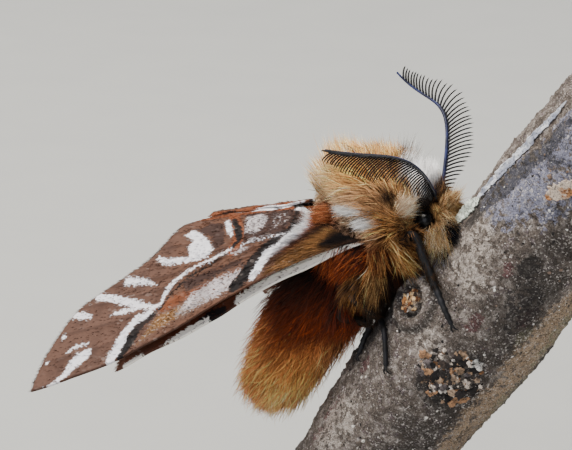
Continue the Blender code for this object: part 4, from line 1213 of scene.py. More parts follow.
FOREWING = Wing(
    "forewing", 0.55, (),
    ((-19.85, 14.0), (-19.75, 11.6), (-18.6, 8.95), (-16.1, 6.9), (-14.2, 5.0), (-13.7, 2.8),
     (-13.2, 0.6)),
    ((-1.3, 3.1), (-3.4, 2.2), (-6.1, 0.8), (-9.2, 0.5), (-13.2, 0.6)), 0.0, FOREWING_MARKS)
HINDWING = Wing(
    "hindwing", 0.0,
    ((1.3, 3.3), (-2.05, 4.7), (-4.8, 5.95), (-7.2, 7.5), (-9.3, 8.95), (-12.1, 10.5),
     (-14.4, 11.9)),
    ((-14.4, 11.9), (-14.5, 9.5), (-13.2, 6.6), (-12.4, 4.2), (-11.6, 1.4)),
    ((-2.6, 3.0), (-5.2, 1.8), (-8.2, 1.1), (-11.6, 1.4)), 0.97, HINDWING_MARKS,
    rows=90, columns=70, fringe=1100, hairs=0, scales=900)
FOREWING_PAINT = WingPaint("644434", "64483C", rust="824A2E")
HINDWING_PAINT = WingPaint("542814", "6A4636", white="FFF9EE", dust="B09A8C")


FRINGE_CUT = HairCut(0.55, 0.03, 0.07, 3, 0.2, 0.4, 0.3, 0.12, 0.8, 0.1, 0.15)
BASE_HAIR_CUT = HairCut(1.2, 0.14, 0.06, 3, 0.3, 0.5, 0.3, 0.14, 0.5, 0.4, 0.45)
SCALE_CUT = HairCut(0.3, 0.16, 0.06, 3, 0.0, 1.0, 0.3, 0.16, 0.8, 0.1, 0.25)


@dataclass
class WingCoat:
    """Scales that stand out on a wing: its fringe, its long base hairs and its loose scales."""

    wing: Wing
    side: Side
    seed: int
    paint: WingPaint
    finish: Material

    def build(self) -> None:
        """Grow the fringe, the base hairs and the raised scales."""
        wing, draw = self.wing, seeded(self.seed)
        t = np.concatenate([draw.random(wing.fringe), draw.random(wing.fringe // 4)])
        edge = np.arange(len(t)) >= wing.fringe
        s = np.where(edge, draw.random(len(t)), 0.985)
        t = np.where(edge, 0.995, t)
        self.grow("fringe", s, t, FRINGE_CUT, np.where(edge, 0.6, 1), -0.05)
        if wing.hairs:
            s = 0.005 + 0.3 * draw.random(wing.hairs) ** 1.5
            t = draw.random(wing.hairs)
            self.grow("base_hair", s, t, BASE_HAIR_CUT, 1.1 - 1.8 * s)
        s = 0.04 + 0.94 * draw.random(wing.scales)
        t = draw.random(wing.scales)
        self.grow("raised_scales", s, t, SCALE_CUT, np.ones(len(s)))

    def grow(self, part: str, s: Array, t: Array, cut: HairCut, scale: Array, above: float = 0.0
             ) -> None:
        """One kind of tuft over given places of the wing's net."""
        wing = self.wing
        point, normal, _ = wing.face(s, t, above)
        ahead = wing.face(np.minimum(s + 0.02, 1.02), t, above)[0] - wing.face(s - 0.01, t, above)[0]
        edge = wing.face(s, t + 0.02, above)[0] - point
        lie = unit(ahead) + np.where(t > 0.99, 1.0, 0.0)[:, None] * unit(edge) * 0.6
        point, normal, lie = (mirrored(rows, self.side) for rows in (point, normal, lie))
        node = wing.node(self.side)
        coat = Coat(f"{node}_{part}", cut, self.seed + len(part), self.tint, self.finish,
                    "wing_scales", node, 0.4)
        coat.grow(point, normal, lie, np.stack([s, t], axis=1), scale)

    def tint(self, seen: Array) -> Array:
        """Colour of the wing's marks at each tuft."""
        own = np.stack([seen[:, 0], np.abs(seen[:, 1])], axis=1)
        return self.paint.colours(self.wing.shares(own), own)


def sweep(name: str, runs: list[tuple[Array, Array]]) -> Mesh:
    """Round tapered tubes along smooth routes.

    Args:
        name: Name of the mesh.
        runs: A route's points in the moth's frame, with a radius in millimetres at each.

    Returns:
        One mesh of closed tubes in the model's frame.
    """
    curve = bpy.data.curves.new(name, "CURVE")
    curve.dimensions = "3D"
    curve.bevel_depth = MM
    curve.bevel_resolution = 2
    curve.use_fill_caps = True
    for points, radii in runs:
        line = curve.splines.new("POLY")
        line.points.add(len(points) - 1)
        rows = np.ones((len(points), 4))
        rows[:, :3] = placed(points)
        line.points.foreach_set("co", rows.ravel())
        line.points.foreach_set("radius", radii)
    holder = bpy.data.objects.new(name, curve)
    mesh = bpy.data.meshes.new_from_object(holder)
    bpy.data.objects.remove(holder)
    mesh.name = name
    return mesh


PERCH_LOW = np.array([-0.17, 0.6, -17.44])
PERCH_HIGH = np.array([14.3, 2.0, 2.55])
PERCH_LENGTH = float(np.linalg.norm(PERCH_HIGH - PERCH_LOW))
PERCH_ALONG = (PERCH_HIGH - PERCH_LOW) / PERCH_LENGTH
PERCH_OVER = unit(np.cross(PERCH_ALONG, [0.0, 1.0, 0.0]))
PERCH_NEAR = np.cross(PERCH_ALONG, PERCH_OVER)


def perch_point(station: Array, angle: Array, above: Array | float = 0.0
                ) -> Array:
    """Points over the bark: distance along the branch, turn from its top in degrees, height."""
    turn = np.radians(angle)[..., None]
    out = PERCH_OVER * np.cos(turn) + PERCH_NEAR * np.sin(turn)
    radius = 4.25 + 1.15 * smooth((np.asarray(station) + 3) / 13)
    return PERCH_LOW + PERCH_ALONG * np.asarray(station)[..., None] + out * (
        radius + above)[..., None]


def turn_from(angle: Array, middle: float) -> Array:
    """The shorter turn in degrees from a middle to each angle."""
    return (angle - middle + 180) % 360 - 180


class Tone(IntEnum):
    """Channels that the bark's patches are painted in."""

    PALE = 0
    # Dark bark, and painted shadow under the moth and beneath the loose sliver.
    BLACK = 1
    ORANGE = 2
    BLUE = 3
    GREEN = 4
    PINK = 5


@dataclass(frozen=True)
class BarkSpot:
    """A patch on the bark: its channel, then centre and half size as station and degrees."""

    tone: Tone
    station: float
    angle: float
    half_station: float
    half_angle: float
    strength: float = 1.0

    def share(self, station: Array, angle: Array) -> Array:
        """How strongly the patch shows at each place."""
        turn = turn_from(angle, self.angle)
        reach = np.hypot((station - self.station) / self.half_station, turn / self.half_angle)
        return self.strength * (1 - smooth(reach, 0.5, 1.35))


BARK_SPOTS = tuple(BarkSpot(tone, *sizes) for tone, group in (
    (Tone.BLUE, ((25.2, 66, 3.4, 22, 0.85), (27.0, 92, 3.0, 16, 0.7), (23.6, 47, 2.0, 9, 0.6),
        (16.5, 45, 2.2, 10, 0.35), (30.0, 70, 3.0, 18, 0.9))),
    (Tone.PALE, ((19.6, 66, 2.8, 20, 0.5), (18.2, 84, 1.8, 12, 0.45), (2.0, 62, 3.2, 20, 0.5),
        (12.4, 84, 1.4, 12, 0.5))),
    # BLACK: dark bark, with painted shadow: the moth's shadow at station 10 and the shadow beneath the
    # loose sliver from station 22 to 29.4.
    (Tone.BLACK, ((22.0, 46, 2.0, 8, 1.3), (24.7, 52, 2.0, 8, 1.3), (26.9, 56, 1.8, 7),
        (29.4, 61, 2.2, 7), (10.0, 18, 5.0, 26, 1.2), (28.4, 72, 0.7, 9, 0.8), (21.6, 107, 0.9, 8),
        (18.9, 36, 1.0, 9, 0.8), (18.9, 122, 2.6, 18, 0.6), (10.2, 112, 1.6, 20, 0.8),
        (13.0, 120, 1.0, 12, 0.7), (28.6, 104, 1.2, 12, 0.8))),
    (Tone.ORANGE, ((16.6, 160, 5.5, 24, 0.8), (8.4, 163, 5.5, 24, 0.8), (23.0, 166, 4.0, 20, 0.7),
        (13.35, 51, 0.85, 9.0, 0.95))),
    (Tone.GREEN, ((17.7, 172, 4.0, 12, 0.6), (17.0, 137, 1.0, 5, 0.8), (11.0, 178, 3.6, 12, 0.5))),
    (Tone.PINK, ((20.5, 96, 0.6, 5, 0.9), (15.8, 102, 1.0, 6, 0.9), (18.2, 131, 1.2, 9, 0.7),
        (1.6, 50, 2.6, 12, 0.5), (7.0, 50, 0.8, 5, 0.8))),
) for sizes in group)


@dataclass
class Perch:
    """The cut length of branch: bark relief, a knot, loose flakes and crusts of lichen."""

    rows: int = 290
    columns: int = 190
    low_reach: float = 6.0
    high_reach: float = 8.0
    knot: Pair = (13.3, 51.0)
    knot_radius: float = 5.3
    map_radius: float = 5.2
    lump: float = 0.16
    crumb: float = 0.09
    plate: float = 0.12

    def relief(self, station: Array, angle: Array) -> Array:
        """Height of the bark over the round branch, in millimetres."""
        base = perch_point(station, angle)
        bump = 0.12 * np.sin(station * 0.55 + np.radians(angle) * 2)
        lumps = grain(base, 2.6, 3.0, 2) * self.lump
        crumbs = np.abs(grain(base, 0.62, 9.0, 4)) * self.crumb * 2
        plates = 0.35 + 0.65 * smooth(station, 19, 23)
        cracks = self.cracks(base, 0.1) * self.plate * plates
        return bump + lumps + crumbs - cracks + self.collar(station, angle)

    def cracks(self, base: Array, width: float) -> Array:
        """How much of a crack each place of the bark holds."""
        return 1 - smooth(np.abs(grain(base, 1.9, 20, 3)), 0, width)

    def from_knot(self, station: Array, angle: Array) -> Array:
        """Distance over the bark from the knot's middle."""
        turn = np.radians(turn_from(angle, self.knot[1])) * self.knot_radius
        return np.hypot(station - self.knot[0], turn)

    def collar(self, station: Array, angle: Array) -> Array:
        """The raised ring round the knot and the sunk face inside it."""
        away = self.from_knot(station, angle)
        return (0.5 * np.exp(-((away - 1.5) / 0.42) ** 2)
                - 0.35 * np.exp(-((away - 1) / 0.17) ** 2)
                + 0.30 * (1 - smooth(away, 0.6, 0.95)))

    def damp(self, station: Array, angle: Array) -> Array:
        """Painted shade: darkening of the underside, of the cracks and of the grooves round the knot."""
        base = perch_point(station, angle)
        under = smooth(angle, 78, 125) * (1 - smooth(angle, 230, 290)) * 0.8
        under = under * (1 - 0.95 * smooth(angle, 136, 150) * (1 - smooth(angle, 175, 190)))
        patchy = np.clip(under * (1 + 0.7 * grain(base, 2.2, 31, 3)), 0, 1)
        away = self.from_knot(station, angle)
        ring = 1.4 * np.exp(-((away - 1.03) / 0.22) ** 2) + np.exp(-((away - 2.05) / 0.26) ** 2)
        cracks = self.cracks(base, 0.07) * (0.3 + 0.6 * smooth(station, 19, 23))
        return np.clip(patchy + ring + cracks, 0, 1)

    def shares(self, station: Array, angle: Array) -> Array:
        """Strength of each bark colour at each place."""
        rows = np.zeros((len(station), len(Tone)))
        for spot in BARK_SPOTS:
            rows[:, spot.tone] = np.maximum(rows[:, spot.tone], spot.share(station, angle))
        return rows

    def build(self, bark: Material, wood: Material) -> None:
        """The branch, with both ends cut square."""
        mesh, along, about = grid_mesh("perch_bark", self.rows, self.columns)
        low, high = -self.low_reach, PERCH_LENGTH + self.high_reach
        station = along * (PERCH_LENGTH + self.low_reach + self.high_reach) - self.low_reach
        angle = about * 360
        turned = angle % 360
        rise = self.relief(station, turned)
        ends = smooth(station, low, low + 0.4) * (1 - smooth(station, high - 0.4, high))
        move_points(mesh, perch_point(station, angle, rise * ends - 0.25 * (1 - ends)))
        # The seventh channel holds painted shade: underside, cracks and knot grooves.
        set_marks(mesh, "bark", self.shares(station, turned), self.damp(station, turned))
        around = np.radians(angle) * self.map_radius
        set_corners(mesh, "BarkPlan", np.stack([station, around], axis=1))
        bm = welded(mesh, 0.001)
        rims = [edge for edge in bm.edges if edge.is_boundary]
        caps = bmesh.ops.holes_fill(bm, edges=rims, sides=0)["faces"]
        bmesh.ops.poke(bm, faces=caps)
        bmesh.ops.recalc_face_normals(bm, faces=bm.faces)
        bm.to_mesh(mesh)
        bm.free()
        add_piece(mesh, bark, "bark", "perch")
        self.cut_end("low", low, -0.06, wood)
        self.cut_end("high", high, 0.06, wood)

    def cut_end(self, name: str, at: float, out: float, wood: Material) -> None:
        """A sawn end face with its growth rings, just proud of the bark's edge."""
        mesh, share, about = grid_mesh(f"perch_cut_{name}", 24, 110)
        angle = about * 360
        rim = perch_point(np.full(len(share), at), angle, np.full(len(share), -0.28))
        middle = PERCH_LOW + PERCH_ALONG * at
        radius = np.linalg.norm(rim - middle, axis=1) * share
        saw = 0.03 * grain(np.column_stack([radius * 2, angle * 0.02, 0 * angle]), 0.9, 5.0, 2)
        dome = (out + np.sign(out) * saw) * (1 - share ** 6)
        move_points(mesh, middle + (rim - middle) * share[:, None] + PERCH_ALONG * dome[:, None])
        turn = np.radians(angle)
        set_corners(mesh, "CutPlan", np.column_stack([np.cos(turn), np.sin(turn)]) * radius[:, None])
        bm = welded(mesh, 0.0005)
        bmesh.ops.recalc_face_normals(bm, faces=bm.faces)
        if sum(Vector(PERCH_ALONG).dot(face.normal) for face in bm.faces) * out < 0:
            bmesh.ops.reverse_faces(bm, faces=bm.faces)
        bm.to_mesh(mesh)
        bm.free()
        add_piece(mesh, wood, "bark", "perch")


@dataclass(frozen=True)
class BarkFinish:
    """Weathered twig bark: dry, matt, speckled by algae, lichen and dirt, with painted shade on its
    underside, in its cracks and round its knot.
    """

    name: str = "weathered_bark"
    ground: str = "64584F"
    light: str = "AEA49C"
    mauve: str = "7A6672"
    damp: str = "140E0C"
    grains: str = "DCD4CC"
    deep: str = "17120F"
    accents: tuple[tuple[Tone, str], ...] = (
        (Tone.BLUE, "8C90AA"), (Tone.PINK, "6A3C3E"), (Tone.PALE, "C8BCB0"),
        # The black accent also paints the shadows of the moth and of the sliver on the bark.
        (Tone.ORANGE, "B89C7C"), (Tone.GREEN, "8E8A6C"), (Tone.BLACK, "0E0C0E"))

    def build(self) -> Material:
        """Make the material."""
        look = Look(self.name, self.ground)
        place = look.place(1.0)
        specks = look.via(NOISE, place, 10.0, 4.0, 0.8)
        blots = look.via(NOISE, place, 1.3, 6.0, 0.65)
        other = look.via(NOISE, place, 2.3, 5.0, 0.5, 0.6)
        look.lay(self.light, look.via(RAMP, blots, 0.45, 0.72))
        look.lay(self.mauve, look.via(RAMP, other, 0.5, 0.75, 0, 0.55))
        shares, damp = look.marks("bark")
        tear = look.via(RAMP, other, 0.25, 0.75, -0.55, 0.55)
        for tone, code in self.accents:
            edge = look.torn(shares[tone], tear, 0.15)
            look.lay(code, look.via(TIMES, edge, look.via(RAMP, shares[tone], 0.02, 0.4, 0, 0.75)))
        # Painted shade: the underside, the cracks and the grooves round the knot are darkened.
        look.lay(self.damp, look.via(RAMP, damp, 0, 1, 0, 0.7))
        crowd = look.via(TIMES, look.via(RAMP, look.via(CELLS, place, 9), 0.6, 0.9),
                         look.via(RAMP, other, 0.35, 0.65, 0.1, 0.85))
        bare = look.via(RAMP, shares[Tone.BLACK], 0.1, 0.7, 1, 0.35)
        look.lay(self.grains, look.via(TIMES, crowd, bare))
        dirt = look.via(TIMES, look.via(RAMP, specks, 0.46, 0.6),
                        look.via(RAMP, blots, 0.35, 0.65, 1, 0.6))
        look.lay(self.deep, dirt)
        return look.finish(look.via(RAMP, blots, 0.3, 0.7, 0.7, 0.95), specks, 0.7, 0.12)


@dataclass(frozen=True)
class Flake:
    """A loose curled scrap of outer bark: its run along the branch and its turn round it."""

    name: str
    stations: Pair
    angles: Pair
    half_angle: float
    lift: float
    codes: tuple[str, str]

    def build(self, perch: Perch, finish: Material) -> None:
        """A thin ragged sheet that rises towards one edge."""
        mesh, along, over = grid_mesh(f"perch_flake_{self.name}", 70, 16)
        over = over * 2 - 1
        line = np.column_stack([along * 9, np.sign(over), 0 * along])
        ragged = 1 + 0.35 * grain(line, 1.0, self.lift * 40, 3)
        pinch = np.sqrt(np.clip(np.sin(along * math.pi), 0.02, 1))
        station = between(self.stations, along)
        angle = between(self.angles, along) + over * self.half_angle * ragged * pinch
        curl = self.lift * ((1 - over) / 2) ** 2 * pinch
        place = perch_point(station, angle)
        high = perch.relief(station, angle) + 0.06 + curl + 0.04 * grain(place, 0.5, 3.0, 3)
        move_points(mesh, perch_point(station, angle, high))
        pale, warm = self.codes
        share = smooth(grain(place, 0.8, 12, 4), -0.15, 0.35)
        set_colours(mesh, "crust", mixed(flat(pale, len(place)), linear(warm), share))
        thicken(add_piece(mesh, finish, "bark", "perch"), 0.05)


FLAKES = (
    Flake("strip", (18.8, 22.2), (24.0, 38.0), 6.0, 0.3, ("DDE4D8", "A4ACA2")),
    Flake("sliver", (21.4, 32.0), (36.0, 48.0), 2.6, 0.25, ("E0E2E8", "A4A8B8")),
    Flake("scale", (26.3, 28.8), (86.0, 97.0), 7.0, 0.3, ("DCCAB8", "B07A4C")),
)


@dataclass(frozen=True)
class Crust:
    """A crowd of small crusty lumps on a patch of the bark."""

    name: str
    centre: Pair
    half: Pair
    count: int
    sizes: Pair
    codes: tuple[str, ...]
    detail: int = 2
    height: float = 0.36

    def build(self, perch: Perch, finish: Material) -> None:
        """Press lumpy domes of several sizes into the bark."""
        draw = seeded(self.count)
        bm = bmesh.new()
        bmesh.ops.create_icosphere(bm, subdivisions=self.detail, radius=1.0)
        ball = np.array([vert.co[:] for vert in bm.verts])
        faces = np.array([[vert.index for vert in face.verts] for face in bm.faces])
        bm.free()
        reach = np.sqrt(draw.random(self.count))
        turn = draw.random(self.count) * math.tau
        station = self.centre[0] + self.half[0] * reach * np.cos(turn)
        angle = self.centre[1] + self.half[1] * reach * np.sin(turn)
        size = between(self.sizes, draw.random(self.count) ** 2.2)
        rise = perch.relief(station, angle)
        middle = perch_point(station, angle, rise)
        out = unit(perch_point(station, angle, rise + 1) - middle)
        ahead = square_to(unit(draw.normal(size=out.shape)), out)
        aside = np.cross(out, ahead)
        stretch = 0.7 + 0.6 * draw.random((self.count, 1, 1))
        lumps = (ahead[:, None] * ball[None, :, :1] * stretch + aside[:, None] * ball[None, :, 1:2]
                 + out[:, None] * ball[None, :, 2:] * self.height) * size[:, None, None]
        middle = middle[:, None]
        rough = grain((middle + lumps).reshape(-1, 3), 0.28, 4.0, 3).reshape(self.count, -1, 1)
        faces = faces[None] + np.arange(self.count)[:, None, None] * len(ball)
        mesh = mesh_from_triangles(f"perch_{self.name}", (
            middle + lumps * (1 + 0.8 * rough)).reshape(-1, 3), faces.reshape(-1, 3))
        rows = np.repeat(picked(self.codes, draw, self.count), len(ball), axis=0)
        # Painted shade and light: each lump is darker where its surface sinks and lighter where it
        # swells.
        set_colours(mesh, "crust", rows * (0.55 + 0.8 * smooth(rough.ravel(), -0.4, 0.4))[:, None])
        add_piece(mesh, finish, "bark", "perch")


LICHEN_CODES = ("CCBEB0", "9A7454", "7E5838", "1A1614", "CCC4BC", "2A2422", "927860", "5A5252",
                "A08872", "100C0C", "3E342E")
CRUSTS = (
    Crust("lichen", (11.3, 114.0), (2.0, 26.0), 250, (0.05, 0.36), LICHEN_CODES, 3, 0.3),
    Crust("lichen_white", (13.2, 124.0), (0.35, 4.0), 10, (0.14, 0.32), ("DCD8D2", "B4B4B0")),
    Crust("knot_grain", (13.35, 51.0), (0.78, 8.2), 90, (0.06, 0.24),
          ("C09A6C", "A06C3C", "6A4020", "D8B88C", "2A1A10")),
    Crust("crumbs", (21.5, 106.0), (9.0, 70.0), 160, (0.04, 0.13), ("D8D4CE", "1C1918", "7A6658")),
    Crust("crumbs_low", (8.0, 80.0), (8.0, 60.0), 150, (0.04, 0.12), ("D0CAC2", "1C1918")),
)


@dataclass(frozen=True)
class LichenFinish:
    """Dry lichen and loose outer bark: matt and chalky, with a crumbling look."""

    name: str = "lichen_crust"
    crumb_mm: float = 0.12
    gaps: str = "1E1713"

    def build(self) -> Material:
        """Make the material."""
        look = Look(self.name, painted="crust")
        crumbs = look.via(NOISE, look.place(1 / self.crumb_mm), 1.0, 4.0)
        look.lay(self.gaps, look.via(RAMP, crumbs, 0.52, 0.66, 0, 0.75))
        return look.finish(0.9, crumbs, 0.7, 0.06)


@dataclass(frozen=True)
class WoodFinish:
    """Sawn dry twig wood: pale, matt, with fine growth rings and darker sapwood."""

    name: str = "sawn_wood"
    pale: str = "B89A72"
    ring: str = "7E5E3C"
    fibre: str = "4E3A28"
    rings_per_mm: float = 1.6

    def build(self) -> Material:
        """Make the material."""
        look = Look(self.name, self.pale)
        plan = look.node("UVMap", uv_map="CutPlan").outputs[0]
        rings = look.node("TexWave", {"Vector": plan, "Scale": self.rings_per_mm / 2,
                                      "Distortion": 1.2, "Detail": 3.0, "Detail Scale": 1.4},
                          wave_type="RINGS", rings_direction="Z")
        fibre = look.via(NOISE, plan, 9.0, 4.0)
        look.lay(self.ring, look.via(RAMP, rings.outputs[1], 0.3, 0.95))
        look.lay(self.fibre, look.via(RAMP, fibre, 0.55, 0.8, 0, 0.6))
        return look.finish(0.8, fibre, 0.5, 0.05)


CLAW = ((0.0, 0.0, 0.0), (0.3, 0.12, 0.1), (0.5, 0.2, -0.12), (0.48, 0.22, -0.34))


@dataclass
class Leg:
    """One pair of legs: furry thigh, shank and jointed foot on the bark, written for the right."""

    name: str
    hip: Triple
    knee: Triple
    steps: tuple[Pair, ...]
    thigh_radius: float
    fur: str = "1C120C"
    fur_length: float = 0.8
    shank_radius: float = 0.28
    foot_radius: float = 0.2
    foot_clear: float = 0.5

    @property
    def knee_at(self) -> float:
        """How far along the leg its knee is, 0 to 1."""
        return 2 / (len(self.steps) + 3)

    @property
    def foot_at(self) -> float:
        """How far along the leg its foot starts."""
        return 4 / (len(self.steps) + 3)

    def joints(self, side: Side) -> Array:
        """Hip, knee and feet on the named side."""
        turn = -side.value
        at = np.array(self.steps)
        feet = perch_point(at[:, 0], at[:, 1] * turn, np.full(len(at), self.foot_clear))
        hip, knee = (np.array(p) * [1, turn, 1] for p in (self.hip, self.knee))
        return np.vstack([hip, (hip + knee) / 2, knee, (knee + feet[0]) / 2, feet])

    def route(self, side: Side, t: Array) -> Array:
        """Points along the leg."""
        return spline(self.joints(side), t)

    def build(self, side: Side, shell: Material) -> None:
        """Thigh, shank, five foot joints with their swollen ends, and two claws."""
        t = steps_to(60)
        points = self.route(side, t)
        knee_at, foot_from = self.knee_at, self.foot_at
        radii = np.interp(t, [0, knee_at * 0.8, knee_at, foot_from, 1.0],
                          [self.thigh_radius, self.thigh_radius * 0.85, self.shank_radius * 1.1,
                           self.shank_radius, self.foot_radius])
        foot = np.clip((t - foot_from) / (1 - foot_from), 0, 1)
        radii = np.where(t > foot_from, radii * (0.78 + 0.3 * ((foot * 5) % 1) ** 2), radii)
        ahead = unit(points[-1] - points[-3])
        axis_gap = points[-1] - PERCH_LOW
        out = unit(axis_gap - PERCH_ALONG * (axis_gap @ PERCH_ALONG))
        aside = np.cross(ahead, out)
        runs = [(points, radii)]
        for sign in (-1, 1):
            marks = points[-1] + np.array(CLAW) * [1, sign, 1] @ np.array([ahead, aside, out])
            runs.append((spline(marks, steps_to(10)), np.linspace(0.1, 0.015, 10)))
        name = f"leg_{self.name}_{side.word}"
        add_piece(sweep(f"{name}_shell", runs), shell, "black_shell", name)


LEGS = (
    Leg("fore", (3.0, -1.7, -1.3), (5.1, -3.0, 0.3), ((15.8, 63.0), (15.3, 78.0), (14.8, 90.0)),
        0.55, "7E5630", 0.75),
    Leg("mid", (0.9, -1.9, -2.4), (0.9, -4.2, -4.3),
        ((10.2, 36.0), (10.3, 50.0), (9.8, 60.0), (8.8, 72.0)), 0.6, "7A5228", 1.3),
    Leg("hind", (-1.2, -1.6, -2.4), (-0.6, -3.1, -6.2), ((9.0, 30.0), (8.2, 37.0), (7.3, 43.0)),
        0.6, "5E2008", 1.5),
)


@dataclass
class Antenna:
    """A feathery antenna: a shaft with two rows of fine curved rays."""

    side: Side
    ways: tuple[Triple, ...]
    longest: float
    slant: Pair
    rays: int
    shaft: Pair = (0.14, 0.07)
    ray_radius: float = 0.072
    bend: float = 0.45
    reach: Pair = (0.03, 0.96)
    socket: float = 0.16

    def build(self, shaft_shell: Material, shell: Material) -> None:
        """The shaft, and both rows as one mesh."""
        name = f"antenna_{self.side.word}"
        route = ANTENNA_ROUTES[self.side]
        t = steps_to(60)
        radii = between(self.shaft, t) + self.socket * (1 - smooth(t, 0, 0.06))
        mesh = sweep(f"{name}_shaft", [(bezier(route, t), radii)])
        add_piece(mesh, shaft_shell, "black_shell", name)
        paths, overs = [], []
        draw = seeded(40 + self.side.value)
        fine = steps_to(400)
        steps = np.linalg.norm(np.diff(bezier(route, fine), axis=0), axis=1)
        run = np.append(0.0, np.cumsum(steps)) / steps.sum()
        u = steps_to(7)[None, :, None]
        for row, way in enumerate(self.ways):
            share = between(self.reach, (np.arange(self.rays) + 0.3 * row) / self.rays)
            at = np.interp(share, run, fine)
            along = unit(bezier(route, at + 0.01) - bezier(route, at - 0.01))
            out = square_to(np.broadcast_to(way, along.shape), along)
            length = self.longest * (0.4 + 0.6 * smooth(share, 0, 0.25)) * (
                0.4 + 0.6 * smooth(1 - share, 0, 0.45)) * (1 + 0.04 * draw.uniform(-1, 1, self.rays))
            slant = np.interp(share, [0.0, 1.0], self.slant)[:, None, None]
            sway = 0.02 * draw.normal(size=(self.rays, 1, 3)) * u ** 2
            lean = along[:, None] * (slant * u - self.bend * slant * u ** 2)
            paths.append(bezier(route, at)[:, None]
                         + (out[:, None] * u + lean + sway) * length[:, None, None])
            overs.append(np.cross(along, out))
        paths, overs = np.concatenate(paths), np.concatenate(overs)
        radii = np.tile(self.ray_radius * np.linspace(1.1, 0.75, 6), (len(paths), 1))
        mesh = mesh_from_triangles(f"{name}_rays", *tube_arrays(paths, radii, overs, 6))
        add_piece(mesh, shell, "black_shell", name)


ANTENNAE = (
    Antenna(Side.RIGHT, ((0.02, -0.35, -0.95), (0.47, -0.88, 0.11)), 1.95, (0.6, 1.7), 47,
            ray_radius=0.06),
    Antenna(Side.LEFT, ((0.80, 0.50, 0.20), (-0.30, 0.90, -0.26)), 1.9, (0.6, 1.4), 38),
)


@dataclass
class Eyes:
    """The two dark compound eyes."""

    subdivisions: int = 5
    radius: float = 0.68

    def build(self, side: Side, finish: Material) -> None:
        """One eye, a sphere of fine facets."""
        bm = bmesh.new()
        bmesh.ops.create_icosphere(bm, subdivisions=self.subdivisions, radius=self.radius * MM)
        centre = placed(mirrored(np.array([EYE_PLACE]), side))[0]
        bmesh.ops.translate(bm, verts=bm.verts, vec=Vector(centre))
        mesh = mesh_of(f"eye_{side.word}_dome", bm)
        add_piece(mesh, finish, "eye_shell", f"eye_{side.word}")


